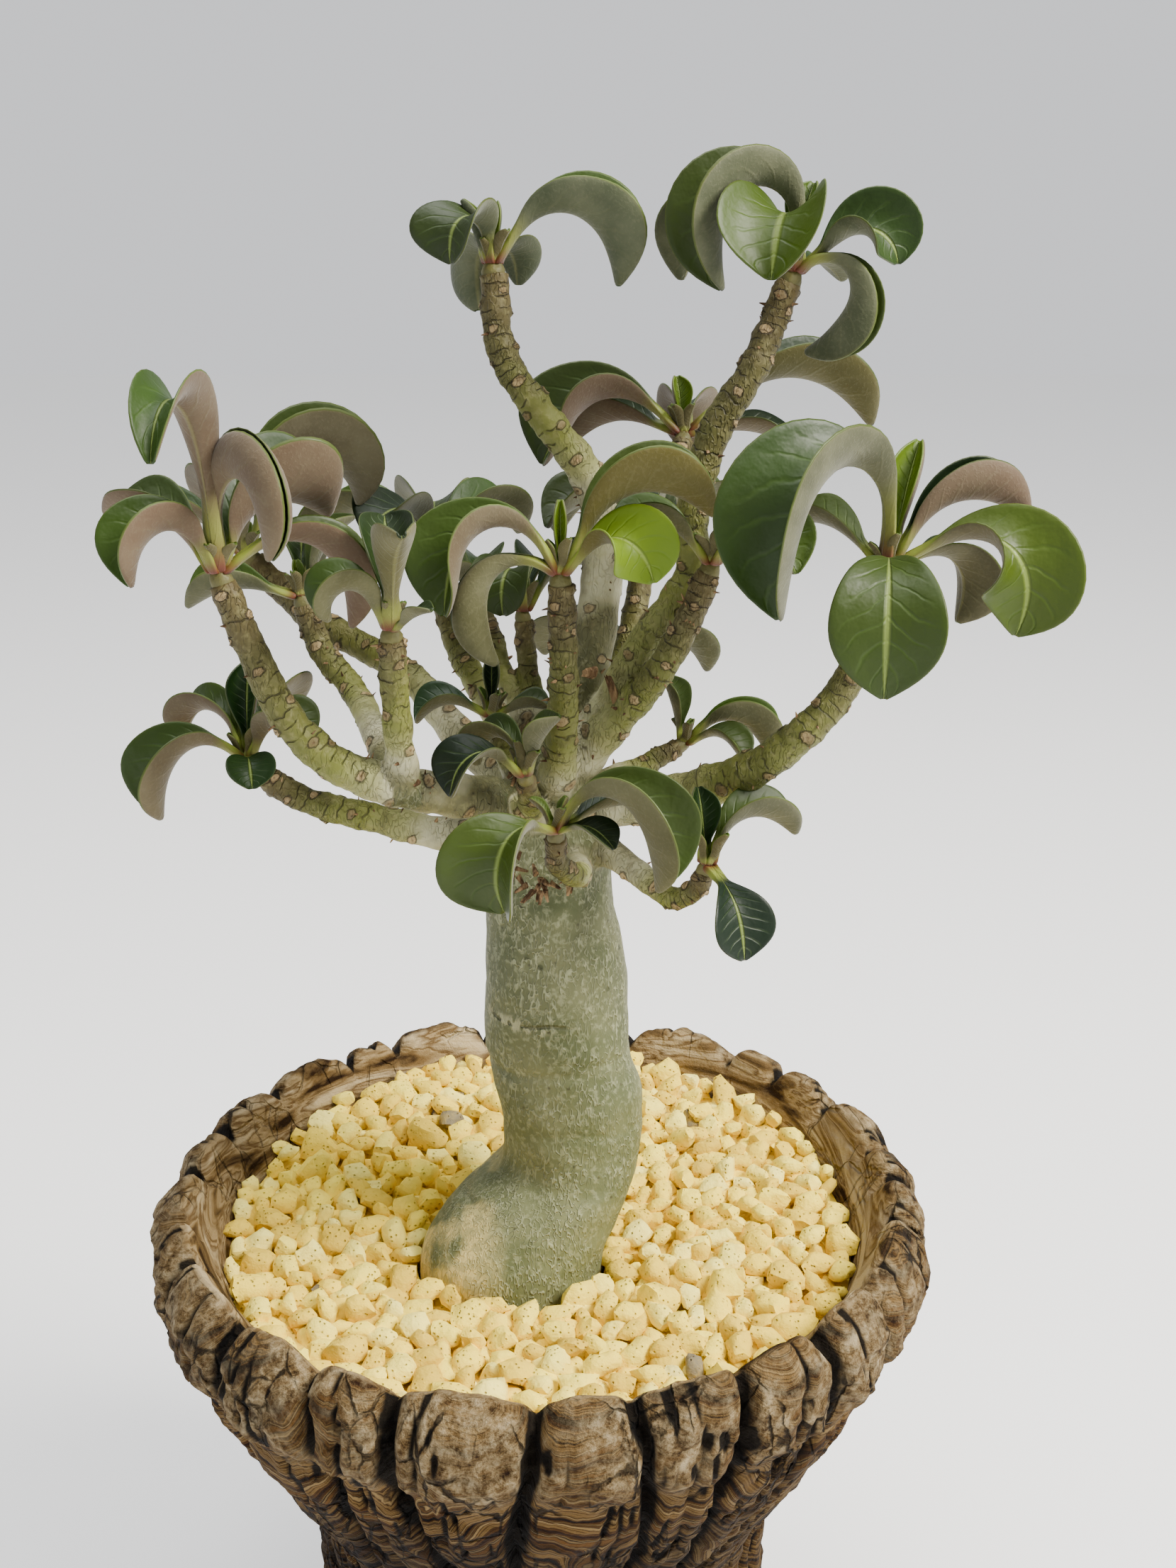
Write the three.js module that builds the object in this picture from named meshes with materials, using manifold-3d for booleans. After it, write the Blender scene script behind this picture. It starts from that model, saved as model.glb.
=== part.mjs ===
// A desert rose (adenium) growing in a flared pot of layered clay shaped like old bark.
// Millimetres, +Z up. The origin is the centre of the pot's underside, +X points right
// and +Y away from the viewer. Leaf and branch directions are compass angles round +Z,
// in degrees: 0 is right, 90 away, 180 left and 270 towards the viewer.
import * as THREE from "three";
import { mergeVertices } from "three/addons/utils/BufferGeometryUtils.js";
import Module from "manifold-3d";

const wasm = await Module();
wasm.setup();

// Pot
const POT_HEIGHT = 147;
const RIM_RADIUS = 85;
const WAIST_RADIUS = 53;
const BASE_RADIUS = 50;
const FLOOR_THICKNESS = 9;
const LIP_BOTTOM = 124;
const BARK_PLATES = 24;
const BARK_GROOVE_DEPTH = 3.4;
const LIP_LUMP_HEIGHT = 2.4;
const DRAIN_RADIUS = 4;
const DRAIN_CIRCLE_RADIUS = 24;
const DRAIN_HOLES = 3;

// Filling
const SOIL_TOP = 126;
const GRAVEL_LEVEL = 133;
const GRAVEL_RISE_TO_BACK = 8.5;
const GRAVEL_RADIUS = 70;
const PEBBLE_PITCH = 10.5;
const PEBBLE_HEIGHT = 3.4;

// Gap that touching pieces keep
const SEAT_GAP = 0.3;
const SLIP_GAP = 0.5;

// Plant
const TRUNK_SIDES = 16;
const LEAF_THICKNESS = 0.8;
const PETIOLE_SHARE = 0.17;
const PETIOLE_HALF_WIDTH = 1.1;
const PETIOLE_HEIGHT = 1.9;
const PETIOLE_OFFSET = 1.1;
const TIP_HALF_WIDTH = 0.5;
const HOOK_SHARE = 0.7;
const BEND_REACH = 0.38;
const TWIST_START = 0.35;
const TWIST_END = 0.85;

const DEGREE = Math.PI / 180;

// The same sequence of draws on every run, from 0 to 1.
function seededRandom(seed) {
  let state = seed;
  return () => {
    state = (state * 1664525 + 1013904223) % 4294967296;
    return state / 4294967296;
  };
}

// A value read between the points of a list of [position, value].
function along(points, position) {
  if (position <= points[0][0]) return points[0][1];
  for (let i = 1; i < points.length; i += 1) {
    const [start, low] = points[i - 1];
    const [end, high] = points[i];
    if (position <= end) return low + ((high - low) * (position - start)) / (end - start);
  }
  return points[points.length - 1][1];
}

function geometryFrom(vertices, triangles) {
  const geometry = new THREE.BufferGeometry();
  const numbers = vertices.flatMap((vertex) => [vertex.x, vertex.y, vertex.z]);
  geometry.setAttribute("position", new THREE.Float32BufferAttribute(numbers, 3));
  geometry.setIndex(triangles.flat());
  return geometry;
}

function solidFrom(geometry) {
  const bare = geometry.clone();
  bare.deleteAttribute("normal");
  bare.deleteAttribute("uv");
  const merged = mergeVertices(bare, 1e-4);
  const mesh = new wasm.Mesh({
    numProp: 3,
    vertProperties: merged.attributes.position.array,
    triVerts: new Uint32Array(merged.index.array),
  });
  return new wasm.Manifold(mesh);
}

function geometryOf(solid) {
  const mesh = solid.getMesh();
  const geometry = new THREE.BufferGeometry();
  geometry.setAttribute("position", new THREE.BufferAttribute(mesh.vertProperties, 3));
  geometry.setIndex(new THREE.BufferAttribute(mesh.triVerts, 1));
  geometry.computeVertexNormals();
  return geometry;
}

// One body from several: what the joining seals inside is filled, and loose scraps are dropped.
function fuse(solids) {
  const whole = solids.reduce((joined, piece) => joined.add(piece));
  return whole.decompose().reduce((best, body) => (body.volume() > best.volume() ? body : best));
}

// A closed skin over rings of points. Each ring runs the right-handed way round the direction
// in which the rings follow each other, and a fan closes each end.
function loft(rings, startCentre, endCentre) {
  const sides = rings[0].length;
  const vertices = [...rings.flat(), startCentre, endCentre];
  const startIndex = rings.length * sides;
  const endIndex = startIndex + 1;
  const last = (rings.length - 1) * sides;
  const triangles = [];
  for (let j = 0; j < sides; j += 1) {
    const next = (j + 1) % sides;
    triangles.push([startIndex, next, j]);
    for (let i = 0; i < rings.length - 1; i += 1) {
      const low = i * sides;
      const high = low + sides;
      triangles.push([low + j, low + next, high + j]);
      triangles.push([low + next, high + next, high + j]);
    }
    triangles.push([endIndex, last + j, last + next]);
  }
  return geometryFrom(vertices, triangles);
}

function middleOf(points) {
  const sum = points.reduce((total, point) => total.add(point), new THREE.Vector3());
  return sum.divideScalar(points.length);
}

// Pot: the outside is a stack of wavy rings with a groove between each two bark plates.
const OUTSIDE = [
  [0, BASE_RADIUS],
  [4, BASE_RADIUS + 2],
  [66, WAIST_RADIUS],
  [77, WAIST_RADIUS + 3],
  [87, WAIST_RADIUS + 9.5],
  [101, WAIST_RADIUS + 17.5],
  [114, WAIST_RADIUS + 24.5],
];
const LIP = [
  [LIP_BOTTOM - 1, RIM_RADIUS - 5],
  [LIP_BOTTOM + 5, RIM_RADIUS - 0.8],
  [LIP_BOTTOM + 15, RIM_RADIUS],
  [POT_HEIGHT - 0.8, RIM_RADIUS - 3.5],
];
const INSIDE = [
  [FLOOR_THICKNESS, BASE_RADIUS - 9],
  [70, WAIST_RADIUS - 9],
  [84, WAIST_RADIUS - 1],
  [110, WAIST_RADIUS + 10],
  [132, RIM_RADIUS - 14.5],
  [POT_HEIGHT + 4, RIM_RADIUS - 6.5],
];

function barkRing(z, radius, depth, lumpHeight, draws) {
  const ring = [];
  for (let plate = 0; plate < BARK_PLATES; plate += 1) {
    const { start, width, bulge, crown } = draws[plate];
    const lean = 0.035 * Math.sin(plate * 2.4 + z / 17);
    const columns = [
      [0, depth, 0],
      [0.17, 0.2 * depth, 0.7],
      [crown, -bulge, 1],
      [0.84, 0.25 * depth, 0.7],
    ];
    for (const [share, sink, rise] of columns) {
      const angle = start + width * share + lean;
      const r = radius - sink;
      const height = z + lumpHeight * (rise - 0.7);
      ring.push(new THREE.Vector3(r * Math.cos(angle), r * Math.sin(angle), height));
    }
  }
  return ring;
}

function plateDraws() {
  const random = seededRandom(11);
  const widths = Array.from({ length: BARK_PLATES }, () => 0.75 + 0.5 * random());
  const total = widths.reduce((sum, width) => sum + width, 0);
  let start = 0;
  return widths.map((share) => {
    const width = (share / total) * 2 * Math.PI;
    const plate = { start, width, bulge: 1.2 * random() - 0.3, crown: 0.4 + 0.2 * random() };
    start += width;
    return plate;
  });
}

function cavityRadius(z) {
  return along(INSIDE, z);
}

function potSolid() {
  const draws = plateDraws();
  const body = OUTSIDE.map(([z, r], level) => {
    const depth = level === 0 ? 0.4 * BARK_GROOVE_DEPTH : BARK_GROOVE_DEPTH;
    return barkRing(z, r, depth, 0, draws);
  });
  const lip = LIP.map(([z, r], level) => {
    const lumpHeight = level === LIP.length - 1 ? LIP_LUMP_HEIGHT : 0;
    return barkRing(z, r, 0.8 * BARK_GROOVE_DEPTH, lumpHeight, draws);
  });
  const top = new THREE.Vector3(0, 0, POT_HEIGHT - 2);
  const outer = solidFrom(loft([...body, ...lip], new THREE.Vector3(0, 0, 0), top));
  const profile = INSIDE.map(([z, r]) => new THREE.Vector2(r, z));
  profile.unshift(new THREE.Vector2(0, FLOOR_THICKNESS));
  profile.push(new THREE.Vector2(0, POT_HEIGHT + 4));
  let pot = outer.subtract(solidFrom(lathe(profile, 52)));
  for (let i = 0; i < DRAIN_HOLES; i += 1) {
    const angle = (i / DRAIN_HOLES) * 2 * Math.PI + 0.5;
    const hole = new THREE.CylinderGeometry(DRAIN_RADIUS, DRAIN_RADIUS, FLOOR_THICKNESS + 4, 10);
    hole.rotateX(Math.PI / 2);
    hole.translate(
      DRAIN_CIRCLE_RADIUS * Math.cos(angle),
      DRAIN_CIRCLE_RADIUS * Math.sin(angle),
      FLOOR_THICKNESS / 2,
    );
    pot = pot.subtract(solidFrom(hole));
  }
  return pot;
}

// A turned solid round +Z, from a profile of (radius, height) that starts and ends on the axis.
function lathe(profile, segments) {
  const geometry = new THREE.LatheGeometry(profile, segments);
  geometry.rotateX(Math.PI / 2);
  return geometry;
}

// Trunk: centre, height and half widths of each ring, from the buried root end to the crown.
const TRUNK_RINGS = [
  [-3, -7, 97, 6, 6],
  [-4, -8, 101, 13, 12],
  [-6, -10, 112, 19, 17],
  [-6.5, -10.5, 126, 20.5, 17.5],
  [-6, -10, 136, 20, 17.5],
  [-3, -8, 142, 19.8, 17],
  [1.5, -5.5, 148, 18.4, 16.2],
  [6.6, -2.5, 154, 15.6, 15.2],
  [7.2, -1, 162, 15.4, 15.2],
  [6.2, 0, 171, 16.1, 15.8],
  [4.6, 0, 178, 15.5, 15.2],
  [4, 0, 187, 15.9, 15.5],
  [3.6, 0, 199, 15.2, 15],
  [3, 0, 210, 14.2, 14],
  [2, 0, 221, 13.4, 13],
  [2, -1, 230, 13.6, 12.6],
  [3, -1, 238, 11.5, 11],
  [4, 0, 246, 7.5, 7.5],
  [4.5, 1, 251, 3.5, 3.5],
];

function trunkRings(margin) {
  return TRUNK_RINGS.map(([x, y, z, halfX, halfY], level) => {
    const ring = [];
    for (let j = 0; j < TRUNK_SIDES; j += 1) {
      const angle = (j / TRUNK_SIDES) * 2 * Math.PI;
      const knobble = 1 + 0.015 * Math.sin(3 * angle + level * 1.7);
      ring.push(
        new THREE.Vector3(
          x + (halfX * knobble + margin) * Math.cos(angle),
          y + (halfY * knobble + margin) * Math.sin(angle),
          z,
        ),
      );
    }
    return ring;
  });
}

function trunkSolid() {
  const rings = trunkRings(0);
  const start = middleOf(rings[0]).add(new THREE.Vector3(0, 0, -2));
  return solidFrom(loft(rings, start, middleOf(rings[rings.length - 1])));
}

// The plain hole that the buried foot stands in.
function footHole() {
  const rings = trunkRings(SLIP_GAP).slice(0, 8);
  const start = middleOf(rings[0]).add(new THREE.Vector3(0, 0, -2 - SLIP_GAP));
  return solidFrom(loft(rings, start, middleOf(rings[rings.length - 1])));
}

// Stems: the points that each follows from where it leaves the plant to its growing tip,
// as [x, y, z, radius].
const STEMS = {
  a: [
    [4, 1, 240, 5.5], [10.5, 6, 263, 4.8], [13.6, 10, 284, 4.3], [13, 8, 297, 3.8],
    [9.2, 5, 306.3, 3.6], [0.8, 4, 317.3, 3.2], [-6, 5, 328, 3], [-7.7, 7, 343, 2.9],
  ],
  b: [
    [8, -2, 246, 5], [14, -3, 256, 4.3], [22.3, -4, 272, 3.6], [31, -4, 286, 3.3],
    [31.7, -3, 301, 3.2], [36, -2, 315, 3.3], [42.7, -2, 326, 3.1], [46.6, 0, 335, 2.8],
    [49.4, 0, 342, 2.6],
  ],
  c: [
    [31.4, -3, 296, 2.8], [30.5, 8, 302, 2.5], [30, 19, 305, 2.4], [30.5, 22, 308.5, 2.4],
  ],
  e: [
    [-4, -8, 238, 5.5], [-13.7, -18, 244, 4.6], [-23.4, -25, 247.7, 4.2],
    [-31, -28.5, 251, 3.9], [-39.6, -30, 256, 3.6], [-47, -30, 265, 3.3], [-53, -30, 279, 3],
    [-57, -30, 290, 2.7],
  ],
  f: [
    [-25, -27, 248, 3.4], [-25.3, -31, 262, 2.9], [-25.5, -34, 275, 2.7],
    [-25.5, -35, 280.5, 2.6],
  ],
  g: [
    [-3, 2, 238, 4.5], [-16, 7, 248.5, 3.7], [-26, 13, 259, 3.3], [-34, 16, 264, 3.1],
    [-48.5, 20, 271.6, 3], [-60.7, 22, 283, 2.8],
  ],
  h: [
    [-27, -25, 249.5, 3.2], [-33, -8, 256, 2.9], [-38.7, 4, 260.5, 2.8], [-45, 7, 268, 2.7],
    [-48, 8, 277, 2.6],
  ],
  i: [
    [-4, -3, 230, 4.4], [-20, -4, 231, 3.6], [-35, -5, 235, 3.1], [-46, -5, 238, 2.9],
    [-53.4, -5, 242, 2.7], [-58, -5, 246.5, 2.5],
  ],
  j: [
    [2, 8, 246, 2.8], [-1.5, 14, 258, 2.3], [-3, 15, 272, 2.1],
  ],
  k: [
    [4, -8, 242, 4.2], [5.5, -15, 257, 3.2], [6, -19, 272, 2.9], [5.5, -20, 287.5, 2.7],
  ],
  l: [
    [0, 9, 245, 2.8], [-5.5, 14, 256, 2.3], [-9.5, 20, 266, 2.2], [-11, 21, 271, 2.1],
  ],
  m: [
    [-4, -5, 243, 2.6], [-7, -6, 250, 2], [-8.4, -6, 255.5, 1.8],
  ],
  n: [
    [-0.5, -8, 236, 3], [-0.8, -18, 243, 2.3], [-1.5, -24, 249.5, 2],
  ],
  o: [
    [8, -9, 226, 3.2], [9, -22, 229, 2.6], [7.6, -30, 232, 2.3], [4.6, -35, 236.5, 2.2],
    [4.6, -37.5, 242.5, 2.1],
  ],
  p: [
    [12, -4, 229, 3.6], [20.6, -14, 226.4, 2.6], [27.3, -22, 224, 2.3], [32, -26, 227, 2.1],
    [33.5, -28, 232, 2],
  ],
  q: [
    [12, 3, 239, 3.2], [22.8, 8, 242, 2.4], [30, 11.5, 245, 2.1],
  ],
  r: [
    [8, -3, 238, 5.6], [21, -6, 238.5, 4.9], [32, -13, 243.5, 4.2], [43.7, -21, 251, 3.8],
    [52.5, -25, 259.5, 3.4], [59, -25, 267.3, 3.2], [64, -24, 279, 2.9],
    [66.8, -22, 289.5, 2.7],
  ],
  s: [
    [7, -3, 244, 4.6], [17, -8, 257, 3.4], [24.7, -11, 267.5, 3], [30.3, -12, 278, 2.8],
    [34.2, -12, 288, 2.6],
  ],
  u: [
    [5, 3, 241, 4.4], [14, 18, 252, 3.3], [20, 30, 265, 2.9], [23, 36, 281, 2.6],
  ],
  v: [
    [-1, 5, 240, 4.4], [-10, 22, 250, 3.3], [-19, 36, 262, 2.9], [-23, 41, 278, 2.6],
  ],
  w: [
    [4, 5, 234, 3.6], [9, 24, 237, 2.8], [14, 38, 243, 2.5], [17, 43, 251, 2.3],
  ],
};
const RING_SPACING = 12;

// A tube of changing radius through points, with a slight swelling at every other ring,
// as the old leaf nodes give it.
function stemSolid(points) {
  const path = new THREE.CatmullRomCurve3(points.map(([x, y, z]) => new THREE.Vector3(x, y, z)));
  const steps = Math.max(2, Math.round(path.getLength() / RING_SPACING));
  const frames = path.computeFrenetFrames(steps, false);
  const sides = points[0][3] > 3.3 ? 8 : 6;
  const rings = [];
  for (let i = 0; i <= steps; i += 1) {
    const share = i / steps;
    const t = path.getUtoTmapping(share);
    const place = path.getPoint(t);
    const radiusPoints = points.map((point, index) => [index / (points.length - 1), point[3]]);
    const swelling = i % 2 === 0 || i === steps ? 1 : 1.06;
    const radius = along(radiusPoints, t) * swelling;
    const ring = [];
    for (let j = 0; j < sides; j += 1) {
      const angle = (j / sides) * 2 * Math.PI;
      ring.push(
        place
          .clone()
          .addScaledVector(frames.normals[i], radius * Math.cos(angle))
          .addScaledVector(frames.binormals[i], radius * Math.sin(angle)),
      );
    }
    rings.push(ring);
  }
  return solidFrom(loft(rings, middleOf(rings[0]), middleOf(rings[steps])));
}

function stemsSolid() {
  return fuse([trunkSolid(), ...Object.values(STEMS).map(stemSolid)]);
}

// Rosettes: the leaves at the tip of each stem, one row a leaf, as
// [direction, rise, length, width, curl, bend place, fold at base, fold at tip, twist].
// Rise is the petiole's angle above level, curl the bend from there to the tip, and bend place
// the share of the length round which that bend lies. Fold is how far each half of the blade
// stands up from flat, and twist turns the outer half of the blade about its midrib.
const ROSETTES = {
  a: [
    [-2, 62, 37, 24, 139, 0.47, 62, 55, 0],
    [224, 92, 23, 20, 185, 0.5, 40, 15, 0],
    [106, 36, 25, 15, 145, 0.47, 60, 55, 0],
    [80, 84, 12, 6, 15, 0.5, 60, 55, 0],
    [72, 35, 19, 12, 110, 0.5, 45, 35, 0],
    [170, 70, 13, 5, 5, 0.5, 60, 60, 0],
  ],
  b: [
    [200, 106, 45, 24, 208, 0.44, 60, 50, 0],
    [251, 88, 31, 27, 158, 0.42, 52, 35, 0],
    [60, 76, 18, 10, 20, 0.5, 60, 50, 0],
    [356, 48, 25, 18, 137, 0.72, 66, 25, 60],
    [337, 52, 31, 16, 197, 0.31, 70, 62, 0],
    [50, 22, 18, 11, 60, 0.5, 30, 20, 0],
    [141, 65, 38, 20, 132, 0.45, 55, 45, 0],
  ],
  c: [
    [176, 50, 39, 24, 114, 0.42, 62, 35, -40],
    [150, 18, 28, 18, 55, 0.54, 50, 40, 0],
    [110, 80, 12, 7, 15, 0.5, 60, 50, 0],
    [8, 44, 47, 23, 91, 0.53, 58, 50, 0],
    [350, 15, 24, 15, 40, 0.5, 35, 25, 0],
    [85, 40, 28, 18, 120, 0.5, 45, 35, 0],
  ],
  e: [
    [165, 58, 26, 17, 66, 0.5, 50, 40, 0],
    [218, 72, 28, 18, 152, 0.51, 60, 50, 0],
    [311, 97, 42, 23, 187, 0.55, 84, 82, 0],
    [30, 72, 29, 32, 102, 0.5, 60, 50, 0],
    [13, 41, 38, 17, 131, 0.47, 55, 45, 0],
    [262, 89, 57, 15, 183, 0.78, 55, 45, 0],
  ],
  f: [
    [98, 84, 25, 14, 62, 0.5, 50, 40, 0],
    [285, 78, 27, 13, 50, 0.5, 60, 50, 0],
    [198, 75, 20, 15, 175, 0.64, 50, 40, 0],
    [330, 45, 10, 7, 30, 0.5, 30, 30, 0],
  ],
  g: [
    [13, 77, 40, 33, 159, 0.67, 60, 50, 0],
    [110, 60, 36, 22, 115, 0.5, 45, 35, 0],
    [188, 55, 34, 22, 116, 0.5, 45, 35, 0],
    [255, 82, 18, 9, 15, 0.5, 60, 50, 0],
  ],
  h: [
    [185, 20, 24, 16, 50, 0.5, 50, 45, 0],
    [95, 62, 26, 16, 100, 0.5, 45, 35, 0],
    [20, 75, 20, 11, 40, 0.5, 50, 40, 0],
  ],
  i: [
    [210, 50, 30, 22, 135, 0.39, 50, 45, 0],
    [154, 80, 26, 14, 150, 0.5, 50, 40, 0],
    [80, 86, 20, 11, 15, 0.5, 60, 50, 0],
    [338, 66, 20, 15, 110, 0.6, 45, 35, 0],
    [68, 61, 26, 16, 105, 0.59, 50, 40, 0],
    [285, 25, 12, 12, 90, 0.5, 35, 30, 0],
  ],
  j: [
    [250, 90, 25, 15, 195, 0.55, 45, 20, 0],
    [20, 62, 26, 15, 90, 0.5, 45, 35, 0],
    [75, 60, 24, 14, 95, 0.5, 45, 35, 0],
  ],
  k: [
    [185, 72, 39, 20, 158, 0.4, 64, 35, -45],
    [182, 46, 32, 16, 156, 0.3, 78, 74, 0],
    [4, 69, 38, 22, 103, 0.53, 62, 55, 0],
    [345, 55, 25, 18, 131, 0.56, 62, 18, 65],
    [90, 88, 14, 4, 5, 0.5, 60, 60, 0],
  ],
  l: [
    [150, 62, 28, 16, 90, 0.5, 45, 35, 0],
    [95, 60, 22, 13, 80, 0.5, 45, 35, 0],
    [225, 66, 18, 10, 60, 0.5, 45, 40, 0],
  ],
  m: [
    [189, 35, 17, 13, 83, 0.54, 45, 30, 0],
    [350, 30, 12, 9, 40, 0.5, 50, 40, 0],
    [90, 80, 12, 6, 10, 0.5, 60, 60, 0],
  ],
  n: [
    [207, 54, 22, 15, 131, 0.52, 40, 20, 0],
    [150, 90, 20, 12, 170, 0.47, 50, 40, 0],
    [350, 78, 14, 12, 30, 0.5, 45, 35, 0],
  ],
  o: [
    [230, 31, 29, 24, 142, 0.47, 45, 35, 0],
    [340, 78, 37, 23, 164, 0.34, 58, 50, 0],
    [15, 34, 18, 12, 40, 0.5, 40, 30, 0],
    [325, 30, 14, 9, 70, 0.5, 30, 25, 0],
  ],
  p: [
    [110, 80, 15, 9, 15, 0.5, 55, 45, 0],
    [16, 79, 25, 15, 121, 0.45, 50, 40, 0],
    [299, -17, 22, 15, 65, 0.49, 30, 12, 0],
  ],
  q: [
    [150, 80, 15, 10, 15, 0.5, 55, 45, 0],
    [2, 59, 24, 15, 121, 0.4, 66, 60, 0],
    [330, 40, 17, 10, 100, 0.5, 40, 30, 0],
  ],
  r: [
    [262, 26, 44, 22, 122, 0.48, 25, 8, 0],
    [215, 103, 62, 32, 193, 0.39, 50, 48, 0],
    [8, 63, 33, 17, 90, 0.5, 74, 72, 0],
    [346, 36, 42, 23, 145, 0.56, 60, 12, 80],
    [26, 19, 30, 18, 129, 0.56, 35, 30, 0],
    [61, 60, 26, 10, 5, 0.5, 60, 55, 0],
    [148, 42, 25, 16, 64, 0.58, 40, 25, 0],
  ],
  s: [
    [312, 58, 27, 18, 110, 0.5, 50, 40, 0],
    [186, 58, 24, 15, 80, 0.5, 45, 35, 0],
    [52, 60, 26, 14, 90, 0.5, 50, 40, 0],
  ],
  u: [
    [90, 52, 38, 24, 120, 0.5, 45, 35, 0],
    [30, 60, 36, 22, 130, 0.5, 45, 35, 0],
    [148, 62, 30, 19, 120, 0.5, 50, 40, 0],
    [200, 70, 30, 19, 110, 0.5, 45, 35, 0],
  ],
  v: [
    [95, 52, 38, 24, 120, 0.5, 45, 35, 0],
    [165, 55, 38, 23, 125, 0.5, 45, 35, 0],
    [235, 74, 30, 18, 105, 0.5, 40, 30, 0],
    [38, 64, 30, 19, 115, 0.5, 50, 40, 0],
  ],
  w: [
    [80, 40, 32, 20, 100, 0.5, 45, 35, 0],
    [20, 50, 28, 17, 110, 0.5, 45, 35, 0],
    [140, 56, 28, 17, 110, 0.5, 45, 35, 0],
  ],
};

// Half width of a spoon-shaped blade, at a share of the leaf's length.
function halfWidth(share, width) {
  if (share >= 1) return TIP_HALF_WIDTH;
  if (share <= PETIOLE_SHARE) return PETIOLE_HALF_WIDTH;
  const u = (share - PETIOLE_SHARE) / (1 - PETIOLE_SHARE);
  const blade = 0.5 * width * Math.sin(Math.PI * u ** 1.5) ** 0.8;
  return Math.max(blade, PETIOLE_HALF_WIDTH * (1 - u) + TIP_HALF_WIDTH * u);
}

// The part of a leaf's curl that has been reached at a share of its length: a little all the
// way, and most of it round the bend place.
function bentShare(share, bendPlace) {
  const hook = THREE.MathUtils.smoothstep(share, bendPlace - BEND_REACH, bendPlace + BEND_REACH);
  return (1 - HOOK_SHARE) * share + HOOK_SHARE * hook;
}

// The leaf's midrib as a list of places, each with its direction, side and upper normal.
function midrib(base, leaf, shares) {
  const [direction, rise, length, , curl, bendPlace, , , twist] = leaf;
  const outward = new THREE.Vector3(Math.cos(direction * DEGREE), Math.sin(direction * DEGREE), 0);
  const up = new THREE.Vector3(0, 0, 1);
  const place = base.clone().addScaledVector(outward, PETIOLE_OFFSET);
  const fineSteps = 60;
  const found = [];
  for (let i = 0; i <= fineSteps; i += 1) {
    const share = i / fineSteps;
    const angle = (rise - curl * bentShare(share, bendPlace)) * DEGREE;
    const tangent = outward.clone().multiplyScalar(Math.cos(angle)).addScaledVector(up, Math.sin(angle));
    const normal = outward.clone().multiplyScalar(-Math.sin(angle)).addScaledVector(up, Math.cos(angle));
    const turned = twist * THREE.MathUtils.smoothstep(share, TWIST_START, TWIST_END);
    normal.applyAxisAngle(tangent, turned * DEGREE);
    const side = normal.clone().cross(tangent);
    if (shares.some((wanted) => Math.abs(wanted - share) < 0.5 / fineSteps)) {
      found.push({ share, place: place.clone(), side, normal });
    }
    place.addScaledVector(tangent, length / fineSteps);
  }
  return found;
}

// A folded, arched blade with its petiole, as one closed body of even thickness.
function leafSolid(base, leaf) {
  const [, , length, width, , , foldBase, foldTip] = leaf;
  const segments = THREE.MathUtils.clamp(Math.round(length / 9.5), 2, 5);
  const shares = [0, PETIOLE_SHARE];
  for (let i = 1; i < segments; i += 1) {
    shares.push(PETIOLE_SHARE + (1 - PETIOLE_SHARE) * (i / segments) ** 0.9);
  }
  shares.push(1);
  const sections = midrib(base, leaf, shares).map(({ share, place, side, normal }) => {
    const fold = (foldBase + (foldTip - foldBase) * share) * DEGREE;
    const half = halfWidth(share, width);
    const keel = LEAF_THICKNESS * Math.min(1.7, 1 / Math.cos(fold));
    const at = (across, above) =>
      place.clone().addScaledVector(side, across).addScaledVector(normal, above);
    const edgeOut = half * Math.cos(fold);
    const edgeUp = half * Math.sin(fold);
    const skinOut = LEAF_THICKNESS * Math.sin(fold);
    const skinDown = LEAF_THICKNESS * Math.cos(fold);
    return [
      at(edgeOut, edgeUp),
      at(0, 0),
      at(-edgeOut, edgeUp),
      at(-edgeOut - skinOut, edgeUp - skinDown),
      at(0, -keel),
      at(edgeOut + skinOut, edgeUp - skinDown),
    ];
  });
  const [RIGHT, MID, LEFT, LEFT_UNDER, MID_UNDER, RIGHT_UNDER] = [0, 1, 2, 3, 4, 5];
  const corners = (section) => [section[RIGHT], section[LEFT], section[MID_UNDER]];
  const foot = corners(sections[0]);
  const tip = corners(sections[sections.length - 1]);
  const stations = sections.slice(1, -1);
  const triangles = [];
  const quad = (a, b, c, d) => triangles.push([a, b, c], [a, c, d]);
  for (let i = 0; i < stations.length - 1; i += 1) {
    const low = 6 * i;
    const high = low + 6;
    quad(low + RIGHT, low + MID, high + MID, high + RIGHT);
    quad(high + LEFT, high + MID, low + MID, low + LEFT);
    quad(low + LEFT, low + LEFT_UNDER, high + LEFT_UNDER, high + LEFT);
    quad(high + LEFT_UNDER, low + LEFT_UNDER, low + MID_UNDER, high + MID_UNDER);
    quad(low + RIGHT_UNDER, high + RIGHT_UNDER, high + MID_UNDER, low + MID_UNDER);
    quad(low + RIGHT_UNDER, low + RIGHT, high + RIGHT, high + RIGHT_UNDER);
  }
  const last = 6 * (stations.length - 1);
  const footStart = 6 * stations.length;
  closeLeafEnd(triangles, 0, footStart, false);
  closeLeafEnd(triangles, last, footStart + 3, true);
  return solidFrom(geometryFrom([...stations.flat(), ...foot, ...tip], triangles));
}

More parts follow.
